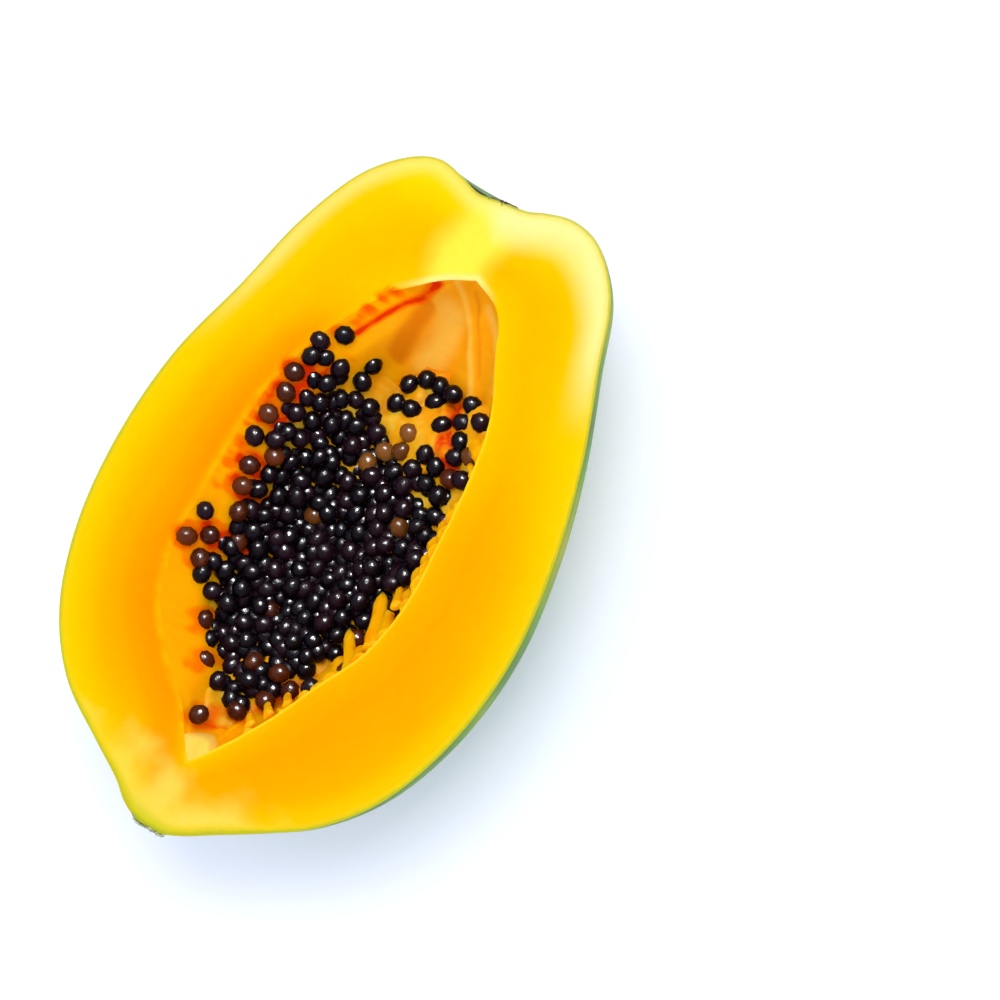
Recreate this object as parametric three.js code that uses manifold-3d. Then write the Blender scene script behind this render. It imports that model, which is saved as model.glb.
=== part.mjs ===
// Half a papaya, cut lengthwise, lying on its back with the cut face up.
// Units are millimetres and +Z is up. +X points to the stem end and +Y to the left side
// when the blossom end is nearest. The origin is the centre of the footprint on the table.

import * as THREE from "three";
import { ParametricGeometry } from "three/addons/geometries/ParametricGeometry.js";
import { mergeVertices } from "three/addons/utils/BufferGeometryUtils.js";
import Module from "manifold-3d";

const wasm = await Module();
wasm.setup();

// Skin line of the cut face, as [place along the fruit, distance from its axis].
// Both lists run from the blossom tip, over the belly and the shoulder, to the stem scar.
const LEFT_SIDE = [
  [-91.6, 0], [-91.5, 5.6], [-89.4, 10.6], [-85.8, 15.2], [-80.3, 24.6], [-70.8, 39.6],
  [-56.9, 50.7], [-36.4, 57.9], [-12, 60.2], [14, 57.8], [38, 50.8], [60, 44.8],
  [77.5, 36.3], [86.6, 26.4], [88.8, 19.6], [87.2, 12.4], [85.4, 6.8], [86.2, 0],
];
const RIGHT_SIDE = [
  [-91.6, 0], [-91.5, 1.8], [-89.6, 6.4], [-84.6, 14.8], [-78.4, 25], [-70.5, 36.3],
  [-56.9, 47.4], [-36.4, 55.4], [-12, 58.6], [14, 56], [38, 50.2], [60, 42.4],
  [77.5, 36], [87.6, 26.4], [89.8, 18.4], [88.4, 11.2], [86.8, 6.8], [86.2, 0],
];
const LOBES = 5;
const LOBE_SHARE = 0.014; // how far the faint lobes stand out, as a share of the radius
const LOBE_ANGLE = Math.PI * 0.6; // the angle of the lowest lobe, from the left rim
const REST_FLAT_CUT = 1.4; // thickness that the small flat resting spot takes off the belly
const FRUIT_SLICES = 52; // faces round the whole fruit; the half keeps half of them
const FRUIT_STACKS = 42;

// Rim of the seed cavity, as [place along the fruit, distance to its left, to its right, depth].
const CAVITY_STATIONS = [
  [-73, 0, 0, 0], [-68.5, 3.4, 3.6, 6.5], [-62, 8.4, 8, 12.5], [-53, 18.8, 13.6, 19],
  [-42, 27.8, 19, 24.5], [-28, 32.2, 26.2, 29], [-12, 32.4, 29.2, 31.5], [4, 32.1, 28.7, 31.5],
  [21, 30.4, 27.6, 29.5], [36, 25.2, 24.9, 26.5], [48.5, 18.4, 19.3, 22], [57, 12.4, 13.3, 16],
  [62.5, 6.4, 7, 9.5], [65.6, 0, 0, 0],
];
const CAVITY_AXIS_BLOSSOM = 1.3; // sideways place of the cavity's axis at its blossom end
const CAVITY_AXIS_STEM = 0.2; // and at its stem end
const WALL_POWER = 0.72; // 0.5 gives an elliptical wall and 1 a parabolic one
const WALL_POWER_SHIFT = 0.1; // the left wall slopes more than the right one by this
const PLACENTA_ANGLES = [0.2, 0.6, 1].map((share) => share * Math.PI); // from the left rim
const PLACENTA_SPREAD = 0.17; // half width of a ridge, in radians
const PLACENTA_HEIGHT = 2.6;
const RIDGE_FULL_DEPTH = 14; // where the cavity is this deep, a ridge has its full height
const MOUTH_HEIGHT = 14; // how far the cutting shape of the cavity stands above the cut face
const MOUTH_END_ROUND = 0.5; // how round that shape is along the fruit
const MOUTH_SIDE_ROUND = 0.4; // and across it: 0 gives a square shape and 1 a pointed one
const CAVITY_SLICES = 60;
const CAVITY_STACKS = 36;

// Where the seeds lie, seen from above, and the bare patches among them.
const SEED_FIELD = [
  [42, 21], [31, 27], [18, 29.4], [2, 29], [-14, 29.6], [-27, 30.4], [-38, 25], [-47, 18],
  [-57, 10], [-64, 5], [-62, 0], [-54, -5], [-44, -10], [-33, -15], [-22, -19], [-10, -22.6],
  [4, -25], [18, -24.4], [31, -23.6], [40, -19.6], [41.6, -12], [36, -9], [38, -4],
  [44, -2.4], [43, 5], [35, 9], [36, 14],
];
const BARE_PATCHES = [[30.5, -14.2, 4.6], [27.6, -2, 3.4], [-29, 4, 2.6], [8.6, -17.8, 2.4]];
const FRINGE = 12; // stray seeds cling to the wall up to this far outside the field
const STRAY_SHARE = 0.4; // share of the places there that hold one
const STRAY_TO = 30; // nearer the stem end the wall is bare
const SEED_LENGTH = 6.3;
const SEED_WIDTH = 5.4;
const SEED_PITCH = 5.3; // the seeds start from a grid of triangles with this side
const GRID_FROM = [-72, -30]; // its corner, along and across the fruit
const GRID_SIZE = [122, 68];
const SEED_JITTER = 0.7; // and are moved up to this far from it
const SEED_TURN = 0.9; // largest turn of a seed, in radians
const PILE_LIFT = 3.1; // height of the seeds' centres over the wall at the edge of the pile
const PILE_CROWN = 7.2; // and how much higher they lie where the pile is thickest
const PILE_BUMP = 0.9; // and how much one seed stands higher or lower than the next
const PILE_EDGE = 10; // distance from the edge over which the pile rises to its crown
const STRAY_LIFT = 1.5;
const SEED_CEILING = -2.8; // no seed's centre is higher than this, so none stands proud of the cut
const MAT_FROM = -63.5; // the mat of pulp and buried seeds that holds the pile together
const MAT_TO = 43.4;
const MAT_SPILL = 1.8; // how far it runs past the edge of the seed field
const MAT_RIM_GAP = 1; // and how far it stays inside the rim of the cavity
const MAT_SINK = 1.1; // its depth under the seeds' centres
const MAT_CEILING = -3.8; // it stays this far below the cut
const MAT_ROOT = 1.5; // how far it would reach into the wall, where the cavity's shape cuts it
const MAT_ROUND = 0.3; // how round its edge is: 0 gives a square edge and 1 a sharp one
const MAT_SLICES = 18;
const MAT_STACKS = 18;
const SEED_GAP = 0.4; // clearance between the pile and the wall that it lies on
const STRAY_NEAREST = MAT_SPILL + SEED_LENGTH / 2 + SEED_GAP; // and between it and stray seeds
const DRAW_START = 20260; // first state of the random draws
const DRAW_FACTOR = 48271;
const DRAW_MODULUS = 2147483647;

const BLOCK_SIDE = 400; // wider than the whole fruit
const WELD_DISTANCE = 1e-4; // corners closer than this are one
const CLOSED_SINE = 1e-9; // a smaller sine counts as 0

const FLESH_COLOUR = 0xffbe0a;
const FLESH_ROUGHNESS = 0.35;
const SEED_COLOUR = 0x17121a;
const SEED_ROUGHNESS = 0.2;

const lerp = THREE.MathUtils.lerp;
const clamp = THREE.MathUtils.clamp;

// A sine raised to a power that rounds its hump. Where the sine is 0 the result is exactly 0,
// so that a surface closes there.
function hump(angle, power) {
  return Math.max(0, Math.abs(Math.sin(angle)) - CLOSED_SINE) ** power;
}

// A smooth line through a list of points in the plane.
function smoothLine(points) {
  return new THREE.CatmullRomCurve3(points.map(([x, y]) => new THREE.Vector3(x, y, 0)));
}

const leftSide = smoothLine(LEFT_SIDE);
const rightSide = smoothLine(RIGHT_SIDE);

// A closed geometry as a solid: its shared vertices are merged and empty faces left out.
function solidOf(geometry) {
  const bare = geometry.clone();
  bare.deleteAttribute("normal");
  bare.deleteAttribute("uv");
  const merged = mergeVertices(bare, WELD_DISTANCE);
  const corners = merged.index.array;
  const kept = [];
  for (let i = 0; i < corners.length; i += 3) {
    const face = [corners[i], corners[i + 1], corners[i + 2]];
    if (new Set(face).size === 3) kept.push(...face);
  }
  return new wasm.Manifold(
    new wasm.Mesh({
      numProp: 3,
      vertProperties: merged.attributes.position.array,
      triVerts: new Uint32Array(kept),
    }),
  );
}

// A solid as a geometry for a mesh.
function geometryOf(solid) {
  const mesh = solid.getMesh();
  const places = new Float32Array(mesh.numVert * 3);
  for (let i = 0; i < mesh.numVert; i++) {
    const start = i * mesh.numProp;
    places.set(mesh.vertProperties.subarray(start, start + 3), i * 3);
  }
  const geometry = new THREE.BufferGeometry();
  geometry.setAttribute("position", new THREE.BufferAttribute(places, 3));
  geometry.setIndex(new THREE.BufferAttribute(mesh.triVerts, 1));
  const facets = geometry.toNonIndexed();
  facets.computeVertexNormals();
  return facets;
}

// A large block that fills everything above or below a height.
function blockBetween(low, high) {
  const block = new THREE.BoxGeometry(BLOCK_SIDE, BLOCK_SIDE, high - low);
  block.translate(0, 0, (low + high) / 2);
  return solidOf(block);
}

// One value of the cavity's stations, smoothly between them. Column 1 is left, 2 right, 3 depth.
function cavityValue(x, column) {
  const last = CAVITY_STATIONS.length - 1;
  const found = CAVITY_STATIONS.findIndex((station) => station[0] > x);
  const i = found < 0 ? last - 1 : Math.max(0, found - 1);
  const here = CAVITY_STATIONS[i];
  const next = CAVITY_STATIONS[i + 1];
  const before = CAVITY_STATIONS[Math.max(0, i - 1)];
  const after = CAVITY_STATIONS[Math.min(last, i + 2)];
  const span = next[0] - here[0];
  const t = clamp((x - here[0]) / span, 0, 1);
  const slopeHere = ((next[column] - before[column]) / (next[0] - before[0])) * span;
  const slopeNext = ((after[column] - here[column]) / (after[0] - here[0])) * span;
  const rise = next[column] - here[column];
  return here[column] + t * (slopeHere + t * (3 * rise - 2 * slopeHere - slopeNext
    + t * (slopeHere + slopeNext - 2 * rise)));
}

function cavityAxis(x) {
  const share = (x - CAVITY_STATIONS[0][0]) / (CAVITY_STATIONS.at(-1)[0] - CAVITY_STATIONS[0][0]);
  return lerp(CAVITY_AXIS_BLOSSOM, CAVITY_AXIS_STEM, share);
}

// Height of the cavity's wall at an angle from the left rim: 0 at the rims, and below them
// inside. The placentas that the seeds grow on are long ridges along it.
function wallAt(x, angle) {
  const depth = cavityValue(x, 3);
  const power = WALL_POWER + WALL_POWER_SHIFT * Math.cos(angle);
  const bowl = -depth * Math.sin(angle) ** (2 * power);
  const reach = clamp(depth / RIDGE_FULL_DEPTH, 0, 1);
  let ridge = 0;
  for (const middle of PLACENTA_ANGLES) {
    ridge += Math.exp(-(((angle - middle) / PLACENTA_SPREAD) ** 2));
  }
  return bowl + PLACENTA_HEIGHT * ridge * reach * Math.sin(angle);
}

// The angle from the left rim of a place in the cavity, or null outside its rim.
function cavityAngle(x, y) {
  const aside = y - cavityAxis(x);
  const width = cavityValue(x, aside > 0 ? 1 : 2);
  const share = aside / width;
  return width > 0 && Math.abs(share) < 1 ? Math.acos(share) : null;
}

// The cavity as a solid that stands above the cut face. Its wall is drawn in by the gap.
function cavitySolid(gap) {
  const first = CAVITY_STATIONS[0][0];
  const last = CAVITY_STATIONS.at(-1)[0];
  const surface = new ParametricGeometry(
    (u, v, target) => {
      const share = (1 - Math.cos(Math.PI * v)) / 2;
      const x = lerp(first + gap, last - gap, share);
      const turn = 2 * Math.PI * (1 - u);
      const side = Math.cos(turn);
      const width = cavityValue(x, side > 0 ? 1 : 2);
      const inset = Math.max(0, width - gap) * Math.sign(1 - Math.abs(2 * v - 1));
      const below = turn < Math.PI;
      const end = hump(Math.PI * v, MOUTH_END_ROUND);
      const height = below
        ? Math.min(0, wallAt(x, turn) + gap * Math.sin(turn))
        : MOUTH_HEIGHT * hump(turn, MOUTH_SIDE_ROUND) * end;
      target.set(x, cavityAxis(x) + inset * side, inset > 0 ? height : 0);
    },
    CAVITY_SLICES,
    CAVITY_STACKS,
  );
  return solidOf(surface);
}

// The whole fruit's outside. The two sides of the cut face blend into each other round it.
function fruitOutside() {
  const surface = new ParametricGeometry(
    (u, v, target) => {
      const angle = 2 * Math.PI * (1 - u);
      const leftShare = (1 + Math.cos(angle)) / 2;
      const left = leftSide.getPoint(v);
      const right = rightSide.getPoint(v);
      const lobe = Math.sin(angle) ** 2 * Math.cos(LOBES * (angle - LOBE_ANGLE));
      const radius = lerp(right.y, left.y, leftShare) * (1 + LOBE_SHARE * lobe);
      const x = lerp(right.x, left.x, leftShare);
      target.set(x, radius * Math.cos(angle), -radius * Math.sin(angle));
    },
    FRUIT_SLICES,
    FRUIT_STACKS,
  );
  return solidOf(surface);
}

// A repeatable stream of numbers from 0 to 1.
function numberStream(start) {
  let state = start;
  return () => {
    state = (state * DRAW_FACTOR) % DRAW_MODULUS;
    return state / DRAW_MODULUS;
  };
}

// Distance from a place to the edge of the seed field, negative outside it.
function depthInField(x, y) {
  let inside = false;
  let nearest = Infinity;
  SEED_FIELD.forEach(([ax, ay], i) => {
    const [bx, by] = SEED_FIELD[(i + 1) % SEED_FIELD.length];
    if (ay > y !== by > y && x < ax + ((bx - ax) * (y - ay)) / (by - ay)) inside = !inside;
    const along = ((x - ax) * (bx - ax) + (y - ay) * (by - ay)) / ((bx - ax) ** 2 + (by - ay) ** 2);
    const t = clamp(along, 0, 1);
    nearest = Math.min(nearest, Math.hypot(x - ax - t * (bx - ax), y - ay - t * (by - ay)));
  });
  return inside ? nearest : -nearest;
}

// Height of the pile's top seeds over the wall, at their centres.
function pileLift(x, y, angle) {
  const inside = clamp(depthInField(x, y) / PILE_EDGE, 0, 1);
  return PILE_LIFT + PILE_CROWN * inside * Math.sin(angle);
}

// Every seed's place, turn and kind: in the pile, or a stray one on the wall.
function seedPlaces() {
  const draw = numberStream(DRAW_START);
  const spread = () => 2 * draw() - 1;
  const places = [];
  const rowStep = SEED_PITCH * Math.sqrt(0.75);
  const rows = Math.ceil(GRID_SIZE[1] / rowStep);
  const columns = Math.ceil(GRID_SIZE[0] / SEED_PITCH);
  for (let row = 0; row < rows; row++) {
    for (let column = 0; column < columns; column++) {
      const x = GRID_FROM[0] + (column + (row % 2) / 2) * SEED_PITCH + SEED_JITTER * spread();
      const y = GRID_FROM[1] + row * rowStep + SEED_JITTER * spread();
      const turns = [spread(), spread(), spread()].map((turn) => turn * SEED_TURN);
      const bump = spread();
      const chance = draw();
      const angle = cavityAngle(x, y);
      const inside = depthInField(x, y);
      if (angle === null || inside < -FRINGE) continue;
      if (BARE_PATCHES.some(([px, py, r]) => Math.hypot(x - px, y - py) < r)) continue;
      const stray = inside < 0;
      if (stray && (chance > STRAY_SHARE || inside > -STRAY_NEAREST || x > STRAY_TO)) continue;
      const lift = stray ? STRAY_LIFT : pileLift(x, y, angle) + PILE_BUMP * bump;
      const wall = wallAt(x, angle);
      places.push({ x, y, z: Math.min(wall + lift, SEED_CEILING), turns, stray });
    }
  }
  return places;
}

// One seed: an egg with few faces. It turns most about the upright, so it lies nearly level.
function seedSolid({ x, y, z, turns }) {
  const egg = new THREE.IcosahedronGeometry(1, 0);
  egg.scale(SEED_LENGTH / 2, SEED_WIDTH / 2, SEED_WIDTH / 2);
  egg.rotateZ(turns[0] * 2);
  egg.rotateY(turns[1]);
  egg.rotateX(turns[2]);
  egg.translate(x, y, z);
  return solidOf(egg);
}

// The left and right edges of the mat at a place along the fruit.
function matEdges(x) {
  const crossings = [];
  SEED_FIELD.forEach(([ax, ay], i) => {
    const [bx, by] = SEED_FIELD[(i + 1) % SEED_FIELD.length];
    if (ax > x !== bx > x) crossings.push(ay + ((by - ay) * (x - ax)) / (bx - ax));
  });
  const axis = cavityAxis(x);
  return [
    Math.min(Math.max(...crossings) + MAT_SPILL, axis + cavityValue(x, 1) - MAT_RIM_GAP),
    Math.max(Math.min(...crossings) - MAT_SPILL, axis - cavityValue(x, 2) + MAT_RIM_GAP),
  ];
}

// The pulp and buried seeds that the pile stands on: a mat that follows the wall.
function matSolid() {
  const surface = new ParametricGeometry(
    (u, v, target) => {
      const share = (1 - Math.cos(Math.PI * v)) / 2;
      const x = lerp(MAT_FROM, MAT_TO, share);
      const end = hump(Math.PI * v, MAT_ROUND);
      const turn = 2 * Math.PI * (1 - u);
      const [left, right] = matEdges(x);
      const half = ((left - right) / 2) * end;
      const y = (left + right) / 2 + half * Math.cos(turn);
      const angle = cavityAngle(x, y);
      const wall = wallAt(x, angle);
      const crest = wall + Math.max(0, pileLift(x, y, angle) - MAT_SINK);
      const below = turn < Math.PI;
      const bulge = hump(turn, MAT_ROUND) * end;
      const top = Math.min(crest, MAT_CEILING);
      const height = below ? wall - MAT_ROOT * bulge : lerp(wall, top, bulge);
      target.set(x, y, height);
    },
    MAT_SLICES,
    MAT_STACKS,
  );
  return solidOf(surface);
}

function namedMesh(name, solid, colour, roughness) {
  const material = new THREE.MeshStandardMaterial({ color: colour, roughness, metalness: 0 });
  const mesh = new THREE.Mesh(geometryOf(solid), material);
  mesh.name = name;
  return mesh;
}

// Stray seeds keep clear of the pile: one that would touch it is left out.
function keptSeeds() {
  const all = seedPlaces();
  const piled = all.filter((seed) => !seed.stray);
  const distance = (a, b) => Math.hypot(a.x - b.x, a.y - b.y, a.z - b.z);
  const strays = all.filter(
    (seed) => seed.stray && piled.every((other) => distance(seed, other) > SEED_LENGTH + SEED_GAP),
  );
  return { piled, strays };
}

const { piled, strays } = keptSeeds();
const belly = -fruitOutside().boundingBox().min[2];
const lowest = -(belly - REST_FLAT_CUT);

// Skin and flesh are one grown piece. The stray seeds are rooted in its wall.
const half = fruitOutside()
  .intersect(blockBetween(lowest, 0))
  .subtract(cavitySolid(0))
  .add(wasm.Manifold.union(strays.map(seedSolid)));

// The pile of seeds, held together by the pulp between them, is clear of the wall.
const pile = wasm.Manifold.union([matSolid(), ...piled.map(seedSolid)])
  .intersect(cavitySolid(SEED_GAP))
  .decompose()
  .sort((a, b) => b.volume() - a.volume())[0];

const papaya = new THREE.Group();
papaya.add(namedMesh("papaya_half", half, FLESH_COLOUR, FLESH_ROUGHNESS));
papaya.add(namedMesh("seed_pile", pile, SEED_COLOUR, SEED_ROUGHNESS));

// The half stands on its flat spot, with the origin under the middle of its outline.
const outline = half.boundingBox();
papaya.position.set(
  -(outline.min[0] + outline.max[0]) / 2,
  -(outline.min[1] + outline.max[1]) / 2,
  -lowest,
);

export default papaya;
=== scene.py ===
"""Half a ripe papaya, cut lengthwise, lying on its back on a white studio floor.

Lengths are in millimetres on the cut face: +X to the stem end, +Y to the left side, +Z up out
of the face, with 0 on it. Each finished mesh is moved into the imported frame, in metres.
"""

import logging
import math
from collections.abc import Callable, Iterator
from dataclasses import dataclass, field
from enum import Enum

import bmesh
import bpy
import numpy as np
from mathutils import Matrix, Vector, noise


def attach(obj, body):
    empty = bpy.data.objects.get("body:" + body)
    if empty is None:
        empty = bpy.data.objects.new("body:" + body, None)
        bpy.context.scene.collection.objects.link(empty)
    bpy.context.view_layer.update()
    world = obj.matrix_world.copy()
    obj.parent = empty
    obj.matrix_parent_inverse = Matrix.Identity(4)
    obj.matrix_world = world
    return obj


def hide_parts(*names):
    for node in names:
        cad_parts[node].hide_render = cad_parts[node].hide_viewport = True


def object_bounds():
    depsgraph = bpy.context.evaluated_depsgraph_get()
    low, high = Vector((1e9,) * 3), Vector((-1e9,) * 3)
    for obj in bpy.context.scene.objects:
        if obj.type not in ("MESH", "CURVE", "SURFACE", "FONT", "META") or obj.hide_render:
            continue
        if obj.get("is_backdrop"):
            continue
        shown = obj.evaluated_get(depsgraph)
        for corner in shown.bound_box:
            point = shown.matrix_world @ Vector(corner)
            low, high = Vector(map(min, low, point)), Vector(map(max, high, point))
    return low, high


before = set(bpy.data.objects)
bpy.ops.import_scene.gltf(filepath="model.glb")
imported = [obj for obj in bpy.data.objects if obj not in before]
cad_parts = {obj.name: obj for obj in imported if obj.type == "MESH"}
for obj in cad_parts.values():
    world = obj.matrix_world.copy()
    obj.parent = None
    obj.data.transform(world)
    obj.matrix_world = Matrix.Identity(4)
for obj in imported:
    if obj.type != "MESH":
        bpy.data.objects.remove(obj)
CAD_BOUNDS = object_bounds()

logging.basicConfig(level=logging.INFO, format="%(message)s")
log = logging.getLogger("papaya")

MM = 0.001
CUT_ORIGIN = Vector((0.945, -0.790, 57.990))  # the cut face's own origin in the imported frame
TINY = 1e-3

Colour = tuple[float, float, float]
Place = tuple[float, float]


def clamp(value: float, low: float = 0.0, high: float = 1.0) -> float:
    """Keeps a number between two limits.

    Args:
        value: The number.
        low: The lower limit.
        high: The upper limit.

    Returns:
        The number, or the limit that it passes.
    """
    return min(max(value, low), high)


def lerp(first: float, second: float, share: float) -> float:
    """Goes a share of the way from one number to another.

    Args:
        first: The number at share 0.
        second: The number at share 1.
        share: How far to go.

    Returns:
        The number that is reached.
    """
    return first + (second - first) * share


def smooth(value: float, low: float, high: float) -> float:
    """Rises smoothly from 0 to 1 between two values.

    Args:
        value: Where to look.
        low: Where it is 0.
        high: Where it is 1; it may be less than low.

    Returns:
        The height of the smooth step.
    """
    share = clamp((value - low) / (high - low))
    return share * share * (3.0 - 2.0 * share)


def wobble(x: float, y: float, z: float, size: float, lane: float = 0.0) -> float:
    """Gives smooth noise from about -1 to 1.

    Args:
        x: Place along the fruit.
        y: Place across it.
        z: Height.
        size: The size of its bumps, in millimetres.
        lane: Takes another pattern of the same kind.

    Returns:
        The noise at the place.
    """
    return noise.noise(Vector((x / size + 17.0 * lane, y / size - 9.0 * lane, z / size + lane)))


class DrawStream:
    """A repeatable stream of random numbers, the same as the CAD source's."""

    FACTOR = 48271
    MODULUS = 2147483647

    def __init__(self, start: int) -> None:
        """Starts the stream.

        Args:
            start: The first state.
        """
        self.state = start

    def draw(self) -> float:
        """Draws a number from 0 to 1."""
        self.state = (self.state * self.FACTOR) % self.MODULUS
        return self.state / self.MODULUS

    def spread(self) -> float:
        """Draws a number from -1 to 1."""
        return 2.0 * self.draw() - 1.0


# ---------------------------------------------------------------- shapes that the CAD also has


@dataclass(frozen=True)
class SmoothLine:
    """A centripetal Catmull-Rom line through points of the plane.

    Attributes:
        points: The points, in order.
    """

    points: tuple[Place, ...]

    def at(self, share: float) -> Place:
        """Finds a place on the line.

        Args:
            share: 0 at the first point and 1 at the last, even from point to point.

        Returns:
            The place.
        """
        last = len(self.points) - 1
        along = clamp(share) * last
        start = min(int(along), last - 1)
        weight = along - start
        here, after = (Vector(self.points[i]) for i in (start, start + 1))
        before = Vector(self.points[start - 1]) if start > 0 else 2 * here - after
        beyond = Vector(self.points[start + 2]) if start + 2 <= last else 2 * after - here
        gaps = [math.sqrt((b - a).length) for a, b in ((before, here), (here, after), (after, beyond))]
        gaps[0], gaps[2] = gaps[0] or gaps[1], gaps[2] or gaps[1]
        slope_here = self._slope(before, here, after, gaps[0], gaps[1]) * gaps[1]
        slope_after = self._slope(here, after, beyond, gaps[1], gaps[2]) * gaps[1]
        rise = after - here
        square = 3 * rise - 2 * slope_here - slope_after
        cube = slope_here + slope_after - 2 * rise
        spot = here + weight * (slope_here + weight * (square + weight * cube))
        return spot.x, spot.y

    @staticmethod
    def _slope(a: Vector, b: Vector, c: Vector, gap_ab: float, gap_bc: float) -> Vector:
        """Gives the line's slope at the middle one of three points.

        Args:
            a: The point before.
            b: The point in the middle.
            c: The point after.
            gap_ab: The line's own distance from a to b.
            gap_bc: And from b to c.

        Returns:
            The slope at b.
        """
        return (b - a) / gap_ab - (c - a) / (gap_ab + gap_bc) + (c - b) / gap_bc


@dataclass(frozen=True)
class FruitShape:
    """The outside of the fruit.

    Attributes:
        left: Skin line of the cut face on the left: place along the fruit, distance from its axis.
        right: The same on the right.
        lobes: How many faint lobes it has round it.
        lobe_share: How far a lobe stands out, as a share of the radius.
        lobe_angle: The angle of the lowest lobe, from the left rim.
        floor: Depth of the floor under the cut face; the belly is flat there.
    """

    left: SmoothLine = SmoothLine((
        (-91.6, 0), (-91.5, 5.6), (-89.4, 10.6), (-85.8, 15.2), (-80.3, 24.6), (-70.8, 39.6),
        (-56.9, 50.7), (-36.4, 57.9), (-12, 60.2), (14, 57.8), (38, 50.8), (60, 44.8),
        (77.5, 36.3), (86.6, 26.4), (88.8, 19.6), (87.2, 12.4), (85.4, 6.8), (86.2, 0),
    ))
    right: SmoothLine = SmoothLine((
        (-91.6, 0), (-91.5, 1.8), (-89.6, 6.4), (-84.6, 14.8), (-78.4, 25), (-70.5, 36.3),
        (-56.9, 47.4), (-36.4, 55.4), (-12, 58.6), (14, 56), (38, 50.2), (60, 42.4),
        (77.5, 36), (87.6, 26.4), (89.8, 18.4), (88.4, 11.2), (86.8, 6.8), (86.2, 0),
    ))
    lobes: int = 5
    lobe_share: float = 0.014
    lobe_angle: float = 0.6 * math.pi
    floor: float = 57.990

    def skin(self, share: float, angle: float, inset: float = 0.0) -> Vector:
        """Finds a place on the skin.

        Args:
            share: From 0 at the blossom tip to 1 at the stem scar.
            angle: From 0 at the left rim, down round the belly, to pi at the right rim.
            inset: How far the skin line is drawn in; less than 0 goes outside it.

        Returns:
            The place.
        """
        left_share = (1.0 + math.cos(angle)) / 2.0
        left, right = self.left.at(share), self.right.at(share)
        lobe = math.sin(angle) ** 2 * math.cos(self.lobes * (angle - self.lobe_angle))
        radius = lerp(right[1], left[1], left_share) * (1.0 + self.lobe_share * lobe)
        radius = max(0.0, radius - inset)
        height = -radius * math.sin(angle)
        return Vector((
            lerp(right[0], left[0], left_share),
            radius * math.cos(angle),
            max(height, -self.floor),
        ))


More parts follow.
